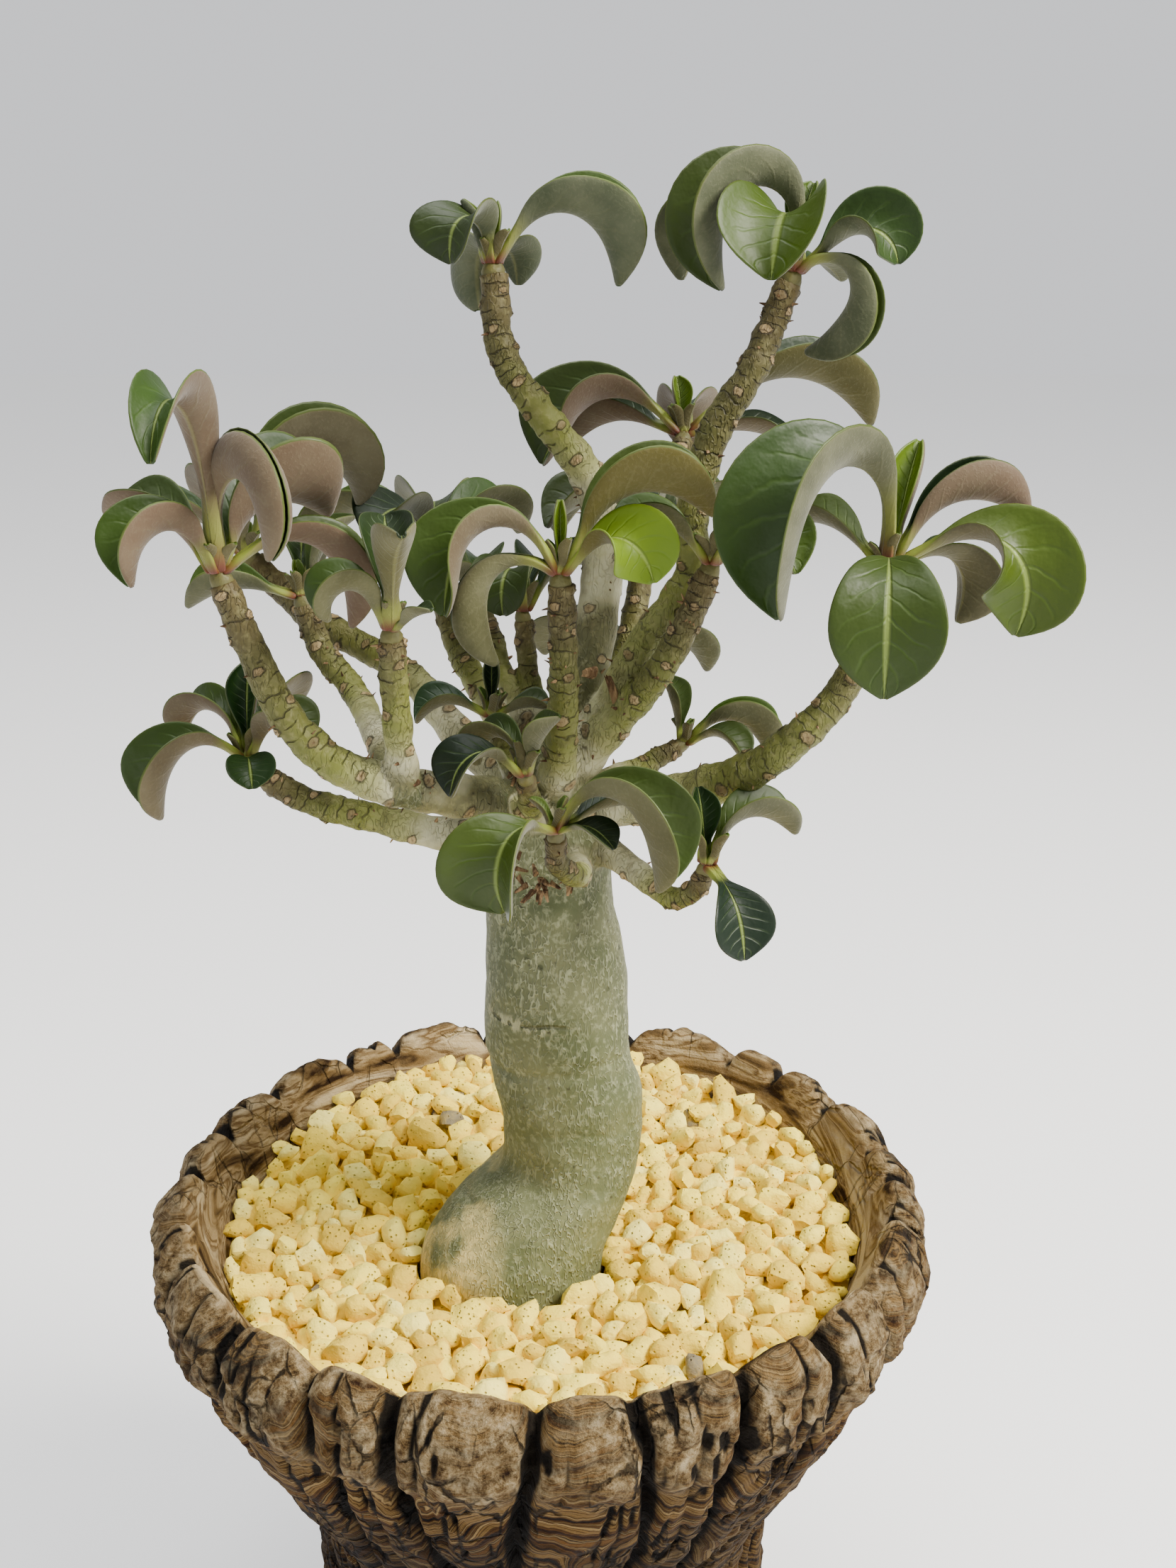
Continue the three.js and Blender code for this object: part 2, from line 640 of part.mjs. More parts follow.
// Narrows a leaf's six-cornered section to the three corners of its foot or tip.
function closeLeafEnd(triangles, section, end, isTip) {
  const [right, mid, left, leftUnder, midUnder, rightUnder] = [0, 1, 2, 3, 4, 5].map((k) => section + k);
  const [endRight, endLeft, endUnder] = [end, end + 1, end + 2];
  const faces = [
    [endRight, endUnder, endLeft],
    [endRight, endLeft, mid],
    [endRight, mid, right],
    [left, mid, endLeft],
    [endLeft, endUnder, leftUnder],
    [endLeft, leftUnder, left],
    [midUnder, leftUnder, endUnder],
    [endUnder, rightUnder, midUnder],
    [endUnder, endRight, right],
    [endUnder, right, rightUnder],
  ];
  for (const [a, b, c] of faces) triangles.push(isTip ? [a, c, b] : [a, b, c]);
}

// The soft growing tip that carries the petioles, seated on the end of its stem.
function budSolid(tip, axis, radius) {
  const sideways = new THREE.Vector3(1, 0, 0).cross(axis).normalize();
  const across = axis.clone().cross(sideways);
  const levels = [
    [SEAT_GAP, 0.9 * radius],
    [3.6, 0.65 * radius],
  ];
  const rings = levels.map(([height, r]) => {
    const ring = [];
    for (let j = 0; j < 6; j += 1) {
      const angle = (j / 6) * 2 * Math.PI;
      ring.push(
        tip
          .clone()
          .addScaledVector(axis, height)
          .addScaledVector(sideways, r * Math.cos(angle))
          .addScaledVector(across, r * Math.sin(angle)),
      );
    }
    return ring;
  });
  return solidFrom(loft(rings, middleOf(rings[0]), middleOf(rings[1])));
}

function rosetteSolid(stem, leaves) {
  const path = new THREE.CatmullRomCurve3(stem.map(([x, y, z]) => new THREE.Vector3(x, y, z)));
  const tip = path.getPoint(1);
  const axis = path.getTangent(1);
  const base = tip.clone().addScaledVector(axis, PETIOLE_HEIGHT);
  const radius = stem[stem.length - 1][3];
  return fuse([budSolid(tip, axis, radius), ...leaves.map((leaf) => leafSolid(base, leaf))]);
}

// Soil: fills the pot under the gravel, with a plain hole for the buried foot.
function soilSolid() {
  const profile = [new THREE.Vector2(0, FLOOR_THICKNESS + SEAT_GAP)];
  for (const [z, r] of INSIDE) {
    if (z < SOIL_TOP) {
      profile.push(new THREE.Vector2(r - SLIP_GAP, Math.max(z, FLOOR_THICKNESS + SEAT_GAP)));
    }
  }
  profile.push(new THREE.Vector2(cavityRadius(SOIL_TOP) - SLIP_GAP, SOIL_TOP));
  profile.push(new THREE.Vector2(0, SOIL_TOP));
  return solidFrom(lathe(profile, 24)).subtract(footHole());
}

// Gravel: a layer whose top is raised into pebbles packed on a jittered honeycomb.
function pebbleSlab() {
  const random = seededRandom(5);
  const rowStep = PEBBLE_PITCH * Math.sqrt(0.75);
  const reach = Math.ceil(RIM_RADIUS / rowStep) + 1;
  const centres = new Map();
  const key = (column, row) => `${column},${row}`;
  for (let row = -reach; row <= reach; row += 1) {
    for (let column = -reach; column <= reach; column += 1) {
      const shift = Math.abs(row % 2) === 1 ? 0.5 : 0;
      const x = (column + shift) * PEBBLE_PITCH + (random() - 0.5) * 2.6;
      const y = row * rowStep + (random() - 0.5) * 2.6;
      centres.set(key(column, row), new THREE.Vector2(x, y));
    }
  }
  const vertices = [];
  const indexOf = new Map();
  const vertex = (name, make) => {
    if (!indexOf.has(name)) {
      indexOf.set(name, vertices.length);
      vertices.push(make());
    }
    return indexOf.get(name);
  };
  const level = (y) => {
    const towardsBack = (y + GRAVEL_RADIUS) / (2 * GRAVEL_RADIUS);
    return GRAVEL_LEVEL + GRAVEL_RISE_TO_BACK * towardsBack ** 2;
  };
  const triangles = [];
  for (let row = 1 - reach; row < reach; row += 1) {
    for (let column = 1 - reach; column < reach; column += 1) {
      const odd = Math.abs(row % 2) === 1 ? 1 : 0;
      const around = [
        [column + 1, row],
        [column + odd, row + 1],
        [column + odd - 1, row + 1],
        [column - 1, row],
        [column + odd - 1, row - 1],
        [column + odd, row - 1],
      ];
      const centre = centres.get(key(column, row));
      const corners = around.map((first, k) => {
        const second = around[(k + 1) % 6];
        const names = [key(column, row), key(...first), key(...second)].sort();
        return vertex(names.join(" "), () => {
          const spot = new THREE.Vector2();
          names.forEach((name) => spot.add(centres.get(name)));
          spot.divideScalar(3);
          return new THREE.Vector3(spot.x, spot.y, level(spot.y) - 0.5 * PEBBLE_HEIGHT);
        });
      });
      const crest = level(centre.y) + (0.3 + 0.35 * random()) * PEBBLE_HEIGHT;
      const crown = [0, 2, 4].map((k) => {
        const corner = vertices[corners[k]];
        const x = centre.x + 0.6 * (corner.x - centre.x);
        const y = centre.y + 0.6 * (corner.y - centre.y);
        const z = crest + random() - 0.5;
        return vertex(`${key(column, row)} crown ${k}`, () => new THREE.Vector3(x, y, z));
      });
      triangles.push(crown);
      for (let k = 0; k < 3; k += 1) {
        const here = corners[2 * k];
        const between = corners[2 * k + 1];
        const next = corners[(2 * k + 2) % 6];
        triangles.push([here, between, crown[k]]);
        triangles.push([crown[k], between, crown[(k + 1) % 3]]);
        triangles.push([between, next, crown[(k + 1) % 3]]);
      }
    }
  }
  return closeBelow(vertices, triangles, SOIL_TOP - 4);
}

// Closes an open, upward-facing sheet with walls and a flat floor at the given height.
function closeBelow(vertices, triangles, floor) {
  const count = vertices.length;
  const all = [...vertices, ...vertices.map((v) => new THREE.Vector3(v.x, v.y, floor))];
  const edges = new Set(triangles.flatMap(([a, b, c]) => [`${a} ${b}`, `${b} ${c}`, `${c} ${a}`]));
  const mirrored = triangles.map(([a, b, c]) => [c + count, b + count, a + count]);
  const closed = [...triangles, ...mirrored];
  for (const edge of edges) {
    const [a, b] = edge.split(" ").map(Number);
    if (!edges.has(`${b} ${a}`)) closed.push([b, a, a + count], [b, a + count, b + count]);
  }
  return geometryFrom(all, closed);
}

function gravelSolid() {
  const bottom = SOIL_TOP + SEAT_GAP;
  const rim = POT_HEIGHT - 1;
  const profile = [
    new THREE.Vector2(0, bottom),
    new THREE.Vector2(cavityRadius(bottom) - SLIP_GAP, bottom),
    new THREE.Vector2(cavityRadius(132) - SLIP_GAP, 132),
    new THREE.Vector2(cavityRadius(rim) - SLIP_GAP, rim),
    new THREE.Vector2(0, rim),
  ];
  return solidFrom(lathe(profile, 52)).intersect(solidFrom(pebbleSlab())).subtract(footHole());
}

const clay = new THREE.MeshStandardMaterial({ color: 0x7d6650, roughness: 0.85, metalness: 0 });
const earth = new THREE.MeshStandardMaterial({ color: 0x4b3a2a, roughness: 1, metalness: 0 });
const pumice = new THREE.MeshStandardMaterial({ color: 0xefdcaa, roughness: 0.9, metalness: 0 });
const bark = new THREE.MeshStandardMaterial({ color: 0x969b80, roughness: 0.7, metalness: 0 });
const leafGreen = new THREE.MeshStandardMaterial({ color: 0x4c7a3c, roughness: 0.45, metalness: 0 });

const plant = new THREE.Group();

function addPiece(name, solid, material) {
  const mesh = new THREE.Mesh(geometryOf(solid), material);
  mesh.name = name;
  plant.add(mesh);
}

addPiece("pot", potSolid(), clay);
addPiece("soil", soilSolid(), earth);
addPiece("gravel", gravelSolid(), pumice);
addPiece("stems", stemsSolid(), bark);
for (const [name, leaves] of Object.entries(ROSETTES)) {
  addPiece(`leaves_${name}`, rosetteSolid(STEMS[name], leaves), leafGreen);
}

export default plant;
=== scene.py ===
# %% [markdown]
# # A desert rose in a pot of layered clay
#
# A desert rose is a succulent: a fat grey-green trunk, a knot of short branches, and at the tip
# of each branch a rosette of stiff leaves that fold along their midribs and hook downwards.
# This one stands in a flared pot shaped like petrified bark, under a layer of pale pumice.
#
# The solids of the same object, loaded first, give every place and size. Each finer piece below
# follows the rule that made its solid, with a closer mesh and a finish of its own. Lengths are
# in metres, +Z is up, and the origin is the centre of the pot's underside.

# %% Load the solids
import math
import random

import bpy
from mathutils import Matrix, Vector, kdtree, noise


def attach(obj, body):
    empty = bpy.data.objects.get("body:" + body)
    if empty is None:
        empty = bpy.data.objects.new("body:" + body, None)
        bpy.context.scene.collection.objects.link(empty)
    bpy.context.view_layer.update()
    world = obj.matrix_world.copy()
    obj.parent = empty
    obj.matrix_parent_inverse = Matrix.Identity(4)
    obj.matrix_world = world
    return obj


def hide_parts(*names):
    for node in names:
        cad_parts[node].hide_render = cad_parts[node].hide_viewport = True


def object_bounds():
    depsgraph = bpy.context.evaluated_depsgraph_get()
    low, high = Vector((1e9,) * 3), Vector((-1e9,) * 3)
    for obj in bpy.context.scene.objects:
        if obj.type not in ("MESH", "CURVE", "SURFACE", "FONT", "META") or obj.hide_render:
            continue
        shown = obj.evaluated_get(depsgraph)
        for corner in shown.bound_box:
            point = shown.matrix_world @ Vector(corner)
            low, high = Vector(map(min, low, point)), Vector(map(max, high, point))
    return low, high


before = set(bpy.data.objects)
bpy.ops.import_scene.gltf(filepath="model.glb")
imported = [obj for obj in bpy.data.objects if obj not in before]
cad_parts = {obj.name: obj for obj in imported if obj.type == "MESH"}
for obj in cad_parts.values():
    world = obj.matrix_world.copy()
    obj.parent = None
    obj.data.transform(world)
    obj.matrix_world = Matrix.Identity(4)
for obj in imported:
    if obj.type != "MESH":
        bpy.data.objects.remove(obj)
solid_box = [list(corner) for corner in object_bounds()]
MM = 0.001
print(len(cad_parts), "solids, from", solid_box[0], "to", solid_box[1])

# %% [markdown]
# ## Light, floor and camera
#
# A plant with glossy leaves is best seen in the light of a large window: one broad lamp stands
# high on the right and in front, a softer one hangs overhead, a weak one fills the left, and a
# pale room lies all round. A single lamp would be simpler, but its shadows would hide half of
# the branches. The camera stands close, above the pot's rim, and looks down by about nineteen
# degrees.

# %% Floor
FLOOR_SIZE = 6.0


def deselect():
    bpy.ops.object.select_all(action="DESELECT")


def only(piece):
    """Makes a piece the one that the next operator acts on."""
    deselect()
    piece.select_set(True)
    bpy.context.view_layer.objects.active = piece
    return piece


deselect()
bpy.ops.mesh.primitive_plane_add(size=FLOOR_SIZE)
floor = bpy.context.object
floor.name = "floor"
print("floor", FLOOR_SIZE, "m wide")

# %% Lamps and room
def lamp(name, place, target, size, watts, colour):
    """A square lamp that faces a target."""
    bpy.ops.object.light_add(type="AREA", location=place)
    light = bpy.context.object
    light.name = name
    light.rotation_euler = (Vector(target) - Vector(place)).to_track_quat("-Z", "Y").to_euler()
    light.data.size = size
    light.data.energy = watts
    light.data.color = colour
    return light


PLANT_MIDDLE = (0, 0, 0.22)
# Place, target, width in metres, watts and colour of each lamp.
lamp("window", (0.80, -0.30, 1.02), PLANT_MIDDLE, 0.5, 37, (1.0, 0.96, 0.88))
lamp("fill", (-0.9, -0.8, 0.45), PLANT_MIDDLE, 0.9, 2.5, (0.93, 0.97, 1.0))
lamp("sky", (-0.1, 0.1, 1.3), PLANT_MIDDLE, 0.8, 15, (1.0, 1.0, 1.0))


def light_room():
    """A white horizon under a dimmer ceiling, so that the light has a direction."""
    room = bpy.data.worlds.new("room")
    room.use_nodes = True
    nodes, links = room.node_tree.nodes, room.node_tree.links
    place = nodes.new("ShaderNodeTexCoord")
    axes = nodes.new("ShaderNodeSeparateXYZ")
    ramp = nodes.new("ShaderNodeValToRGB")
    ramp.color_ramp.elements[0].position = 0.10
    ramp.color_ramp.elements[0].color = (0.96, 0.97, 1.0, 1)
    ramp.color_ramp.elements[1].position = 0.35
    ramp.color_ramp.elements[1].color = (0.34, 0.35, 0.37, 1)
    links.new(place.outputs["Generated"], axes.inputs[0])
    links.new(axes.outputs["Z"], ramp.inputs[0])
    links.new(ramp.outputs["Color"], nodes["Background"].inputs["Color"])
    nodes["Background"].inputs["Strength"].default_value = 0.95
    return room


bpy.context.scene.world = light_room()
print("three lamps and a pale room")

# %% Camera
CAMERA_PLACE = (0.0107, -0.365, 0.364)
CAMERA_TILT = math.radians(71.3)
CAMERA_LENS = 42.31

bpy.ops.object.camera_add(location=CAMERA_PLACE, rotation=(CAMERA_TILT, 0, 0))
camera = bpy.context.object
camera.data.lens = CAMERA_LENS
camera.data.clip_start = 0.01
bpy.context.scene.camera = camera
print("camera", CAMERA_LENS, "mm at", CAMERA_PLACE)

# %% [markdown]
# ## A small language for finishes
#
# Every finish below is a sum of patterns: noise, bands, cracks, marks that the mesh carries. In
# the node editor these are dozens of Math nodes. Here a wrapped socket understands +, - and *,
# so that a pattern can be written as a formula and the nodes appear by themselves.

# %% Sockets that add and multiply
class Pattern:
    """One output socket of a finish, on which sums are written as formulas."""

    def __init__(self, finish, socket):
        self.finish = finish
        self.socket = socket

    def __add__(self, other):
        return self.finish.maths("ADD", self, other)

    def __radd__(self, other):
        return self.finish.maths("ADD", other, self)

    def __sub__(self, other):
        return self.finish.maths("SUBTRACT", self, other)

    def __rsub__(self, other):
        return self.finish.maths("SUBTRACT", other, self)

    def __mul__(self, other):
        return self.finish.maths("MULTIPLY", self, other)

    def __rmul__(self, other):
        return self.finish.maths("MULTIPLY", other, self)


print("patterns add, subtract and multiply")

# %% [markdown]
# A finish owns one material and makes its nodes. Colours are given as they look on a screen,
# because that is how one picks them. A pattern that may lie anywhere on a piece reads Object
# coordinates, since those stay with the mesh, and one that has to follow the surface reads a mark
# or a UV map.

# %% A finish
def paint(red, green, blue):
    """A colour as seen on a screen, from 0 to 255, as the light values that shaders use."""
    light = [(value / 255) ** 2.2 for value in (red, green, blue)]
    return (*light, 1.0)


class Finish:
    """A material with one shader, and the few kinds of node that the finishes below share."""

    def __init__(self, name, mirrored=0.5, **fixed):
        self.material = bpy.data.materials.new(name)
        self.material.use_nodes = True
        self.tree = self.material.node_tree
        self.shader = self.tree.nodes["Principled BSDF"]
        self.shader.inputs["Specular IOR Level"].default_value = mirrored
        for title, value in fixed.items():
            self.shader.inputs[title.replace("_", " ").title()].default_value = value

    def node(self, kind, settings, sockets, output=0):
        """Any node: its type, its settings, and the values or links of its sockets."""
        node = self.tree.nodes.new(kind)
        for title, value in settings.items():
            if title == "stops":
                self.set_stops(node.color_ramp, value)
            else:
                setattr(node, title, value)
        for title, value in sockets.items():
            if isinstance(value, Pattern):
                self.tree.links.new(value.socket, node.inputs[title])
            else:
                node.inputs[title].default_value = value
        return Pattern(self, node.outputs[output])

    def set_stops(self, ramp, stops):
        while len(ramp.elements) < len(stops):
            ramp.elements.new(1.0)
        for element, (position, colour) in zip(ramp.elements, stops):
            element.position = position
            element.color = colour

    def maths(self, operation, *values):
        return self.node("ShaderNodeMath", {"operation": operation}, dict(enumerate(values)))

    def place(self):
        return self.node("ShaderNodeTexCoord", {}, {}, "Object")

    def stretched(self, scale, place=None):
        """Object coordinates multiplied along X, Y and Z."""
        source = place or self.place()
        settings = {"operation": "MULTIPLY"}
        return self.node("ShaderNodeVectorMath", settings, {0: source, 1: scale})

    def shifted(self, place, amount):
        return self.node("ShaderNodeVectorMath", {"operation": "ADD"}, {0: place, 1: amount})

    def axis(self, name, place=None):
        source = place or self.place()
        return self.node("ShaderNodeSeparateXYZ", {}, {0: source}, name)

    def noise(self, scale, detail=3.0, place=None, roughness=0.55, distortion=0.0):
        sockets = {
            "Vector": place or self.place(),
            "Scale": scale,
            "Detail": detail,
            "Roughness": roughness,
            "Distortion": distortion,
        }
        return self.node("ShaderNodeTexNoise", {}, sockets)

    def cells(self, scale, place=None, feature="F1"):
        sockets = {"Vector": place or self.place(), "Scale": scale}
        return self.node("ShaderNodeTexVoronoi", {"feature": feature}, sockets, "Distance")

    def mark(self, name):
        """A number that the mesh carries at each of its corners."""
        return self.node("ShaderNodeAttribute", {"attribute_name": name}, {}, "Fac")

    def step(self, value, low, high):
        """0 below low, 1 above high, and a soft rise between them."""
        sockets = {"Value": value, "From Min": low, "From Max": high}
        return self.node("ShaderNodeMapRange", {"interpolation_type": "SMOOTHSTEP"}, sockets)

    def colours(self, value, stops):
        return self.node("ShaderNodeValToRGB", {"stops": stops}, {0: value})

    def blend(self, share, first, second):
        """Two colours mixed by a share."""
        sockets = {0: share, 6: first, 7: second}
        return self.node("ShaderNodeMix", {"data_type": "RGBA"}, sockets, 2)

    def wear(self, colour, height=None, depth=0.0005, roughness=None):
        """Links the finished patterns to the shader."""
        self.tree.links.new(colour.socket, self.shader.inputs["Base Color"])
        if height is not None:
            bump = self.node("ShaderNodeBump", {}, {"Height": height, "Distance": depth})
            self.tree.links.new(bump.socket, self.shader.inputs["Normal"])
        if roughness is not None:
            self.tree.links.new(roughness.socket, self.shader.inputs["Roughness"])
        return self.material


print("finishes ready")

# %% [markdown]
# The floor is a plain pale sheet, very slightly uneven in tone so that it isn't a flat grey. It
# glows a little, which keeps its far edge from showing against the room.

# %% Floor finish
def floor_finish():
    finish = Finish("pale_floor", roughness=0.8, emission_strength=0.58)
    tone = finish.noise(3.0, 2.0)
    colour = finish.blend(tone, paint(228, 227, 225), paint(233, 232, 230))
    finish.shader.inputs["Emission Color"].default_value = (0.98, 0.985, 1.0, 1)
    return finish.wear(colour)


floor.data.materials.append(floor_finish())
print("floor finished")

# %% [markdown]
# ## Shared shapes
#
# The pot, the trunk and the bed under the gravel are all bodies that close on themselves, so
# each starts as a flat grid that is rolled: across becomes the way round, along becomes the
# profile. Where the edges meet they are merged, which leaves no seam.

# %% Rolled sheets
SEAM = 0.02 * MM


def put_finish(piece, *materials):
    piece.data.materials.clear()
    for material in materials:
        piece.data.materials.append(material)


def rolled_sheet(name, columns, rows, place):
    """A grid of faces whose corners go to place(column, row), closed where its edges meet."""
    deselect()
    bpy.ops.mesh.primitive_grid_add(x_subdivisions=columns, y_subdivisions=rows, size=2)
    sheet = bpy.context.object
    sheet.name = name
    for corner in sheet.data.vertices:
        column = round((corner.co.x + 1) / 2 * columns)
        row = round((corner.co.y + 1) / 2 * rows)
        corner.co = place(column % columns, row)
    bpy.ops.object.mode_set(mode="EDIT")
    bpy.ops.mesh.select_all(action="SELECT")
    bpy.ops.mesh.remove_doubles(threshold=SEAM)
    bpy.ops.mesh.normals_make_consistent(inside=False)
    bpy.ops.object.mode_set(mode="OBJECT")
    bpy.ops.object.shade_smooth()
    return sheet


def write_mark(piece, name, value_at):
    """Stores a number for each corner of a piece, for its finish to read."""
    values = [value_at(corner.co) for corner in piece.data.vertices]
    layer = piece.data.attributes.new(name, "FLOAT", "POINT")
    layer.data.foreach_set("value", values)


print("sheets meet within", SEAM, "m")

# %% [markdown]
# Profiles are short lists of measures. A smooth line is led through them, with the slope at each
# point taken from its neighbours, so that a wall or a trunk needs only a handful of rings.

# %% Smooth lines through a few points
def through(points, position):
    """A smooth line through points of (position, value...), read at one position."""
    last = len(points) - 1
    if position <= points[0][0]:
        return list(points[0][1:])
    if position >= points[last][0]:
        return list(points[last][1:])
    i = max(k for k in range(last) if points[k][0] <= position)
    before, start, end, after = (points[max(0, min(last, k))] for k in (i - 1, i, i + 1, i + 2))
    width = end[0] - start[0]
    u = (position - start[0]) / width
    result = []
    for k in range(1, len(start)):
        slope_start = (end[k] - before[k]) / (end[0] - before[0]) * width
        slope_end = (after[k] - start[k]) / (after[0] - start[0]) * width
        result.append(
            start[k] * (2 * u**3 - 3 * u**2 + 1)
            + slope_start * (u**3 - 2 * u**2 + u)
            + end[k] * (3 * u**2 - 2 * u**3)
            + slope_end * (u**3 - u**2)
        )
    return result


def smooth_step(value, low, high):
    share = max(0.0, min(1.0, (value - low) / (high - low)))
    return share * share * (3 - 2 * share)


print("half a step:", smooth_step(0.5, 0, 1))

# %% [markdown]
# ## The pot
#
# The real pot is clay in coloured layers, pressed into a mould of old bark. Upright plates are
# parted by deep dark cracks, and the layers run across them like contour lines. At the rim the
# plates end in fat, weathered lumps.
#
# A plain turned pot with a bumpy finish would keep a smooth outline, and the outline is what
# shows the plates. So the relief is real: the grid of the outer wall has a corner at each
# millimetre, and each corner is pushed in or out.

# %% Sizes of the pot
POT_HEIGHT = 147 * MM
RIM_RADIUS = 85 * MM
WAIST_RADIUS = 53 * MM
BASE_RADIUS = 50 * MM
FLOOR_TOP = 9 * MM
LIP_BOTTOM = 124 * MM
PLATES = 24
GROOVE_DEPTH = 3.4 * MM
POT_COLUMNS = 460
NARROWEST = 52 * MM

# Height and radius of the wall, outside and inside.
OUTER_WALL = [
    (0, BASE_RADIUS),
    (4 * MM, BASE_RADIUS + 2 * MM),
    (66 * MM, WAIST_RADIUS),
    (77 * MM, WAIST_RADIUS + 3 * MM),
    (87 * MM, WAIST_RADIUS + 9.5 * MM),
    (101 * MM, WAIST_RADIUS + 17.5 * MM),
    (114 * MM, WAIST_RADIUS + 24.5 * MM),
    (LIP_BOTTOM - 1 * MM, RIM_RADIUS - 5 * MM),
    (LIP_BOTTOM + 5 * MM, RIM_RADIUS - 0.8 * MM),
    (LIP_BOTTOM + 15 * MM, RIM_RADIUS),
]
INNER_WALL = [
    (FLOOR_TOP, BASE_RADIUS - 9 * MM),
    (70 * MM, WAIST_RADIUS - 9 * MM),
    (84 * MM, WAIST_RADIUS - 1 * MM),
    (110 * MM, WAIST_RADIUS + 10 * MM),
    (132 * MM, RIM_RADIUS - 14.5 * MM),
    (POT_HEIGHT + 4 * MM, RIM_RADIUS - 6.5 * MM),
]
print("pot", round(POT_HEIGHT / MM), "mm high and", round(2 * RIM_RADIUS / MM), "mm wide")

# %% [markdown]
# The rows of the grid start in the middle of the underside, climb the outer wall in steps of
# 1.1 mm, go over the rim and end in the middle of the floor inside. Rows lie close where cracks
# have to show, and far apart on the plain inner wall.

# %% The rows of the grid
ROW_STEP = 1.1 * MM
RIM_START = 139.5 * MM
# Height and radius in millimetres, and how much relief each row of the rim takes.
RIM_ROWS = [
    (141.6, 84.4, 1.0), (143.4, 83.4, 0.95), (144.8, 82.2, 0.9), (145.9, 80.9, 0.8),
    (146.4, 79.6, 0.7), (146.3, 78.4, 0.55), (145.3, 77.3, 0.45), (143.9, 76.4, 0.35),
    (142.2, 75.5, 0.25),
]
INNER_HEIGHTS = (140, 137.6, 135, 132, 128, 122, 110, 97, 84, 77, 70, 40, 12)


def pot_rows():
    """Each row as (height, radius, how much relief it takes, whether it is inside)."""
    rows = [(0, 0, 0, False), (0, 25 * MM, 0, False), (0, 45 * MM, 0, False)]
    rows.append((0, BASE_RADIUS - 0.6 * MM, 0.4, False))
    height = 0.9 * MM
    while height < RIM_START:
        rows.append((height, through(OUTER_WALL, height)[0], 1, False))
        height += ROW_STEP
    rows.extend((height * MM, radius * MM, relief, False) for height, radius, relief in RIM_ROWS)
    for height in INNER_HEIGHTS:
        rows.append((height * MM, through(INNER_WALL, height * MM)[0], 0.2, True))
    rows.extend([(FLOOR_TOP, 40.5 * MM, 0, True), (FLOOR_TOP, 20 * MM, 0, True)])
    rows.append((FLOOR_TOP, 0, 0, True))
    return rows


POT_ROWS = pot_rows()
print(len(POT_ROWS), "rows of", POT_COLUMNS)

# %% [markdown]
# The plates are laid out by the same sequence of draws as in the solids: a width for each, then
# how far it bulges. A crack lies between each two, and wanders a little as it goes down.

# %% Bark plates
def draws(seed):
    """The same sequence of numbers from 0 to 1 on every run."""
    state = seed
    while True:
        state = (state * 1664525 + 1013904223) % 4294967296
        yield state / 4294967296


def lay_plates():
    draw = draws(11)
    widths = [0.75 + 0.5 * next(draw) for _ in range(PLATES)]
    start = 0.0
    plates = []
    for width in widths:
        turn = width / sum(widths) * 2 * math.pi
        bulge = (1.2 * next(draw) - 0.3) * MM
        next(draw)  # The solids shape the plate's crown with this one.
        plates.append({"start": start, "bulge": bulge})
        start += turn
    return plates


BARK_PLATES = lay_plates()


def plate_edge(index, height):
    """The direction in which a plate starts, at a height."""
    plate = BARK_PLATES[index % PLATES]
    lean = 0.035 * math.sin((index % PLATES) * 2.4 + height / MM / 17)
    wander = 0.012 * noise.noise(Vector((index * 7.3, height * 120, 0)))
    return plate["start"] + lean + wander + (2 * math.pi if index >= PLATES else 0)


def find_plate(direction, height):
    """The plate at a direction, and the share of its width where the direction lies."""
    for index in range(PLATES):
        edge = plate_edge(index, height)
        following = plate_edge(index + 1, height)
        turned = (direction - edge) % (2 * math.pi)
        if turned < following - edge:
            return index, turned / (following - edge), following - edge
    return 0, 0.0, 1.0


print(len(BARK_PLATES), "plates")

# %% [markdown]
# The relief at a place on the wall is the sum of what the real surface shows: the crack beside
# the plate, the crown of the plate, shorter cracks in it, crumbled pits near the cracks, and
# the thin steps where one layer of clay ends and the next begins.

# %% Relief of the bark
# Direction in radians, height and size in millimetres of each knot.
KNOTS = [
    (-1.85, 118, 7), (-1.32, 131, 6), (-2.35, 96, 8), (-0.95, 84, 7), (-1.62, 70, 9),
    (-2.75, 112, 7), (-0.42, 108, 7), (0.5, 92, 8), (1.5, 104, 8), (2.4, 80, 8), (-1.15, 58, 8),
    (3.0, 126, 6), (0.1, 60, 8), (2.0, 122, 6), (-2.1, 60, 8), (-1.75, 86, 6), (-1.42, 100, 6),
]


def knot_pull(direction, height, radius):
    """How far a knot nearby pushes the layers out of level."""
    pull = 0.0
    for knot_direction, knot_height, knot_size in KNOTS:
        aside = (direction - knot_direction + math.pi) % (2 * math.pi) - math.pi
        distance = math.hypot(aside * radius / MM, height / MM - knot_height)
        pull += math.exp(-((distance / knot_size) ** 2))
    return pull


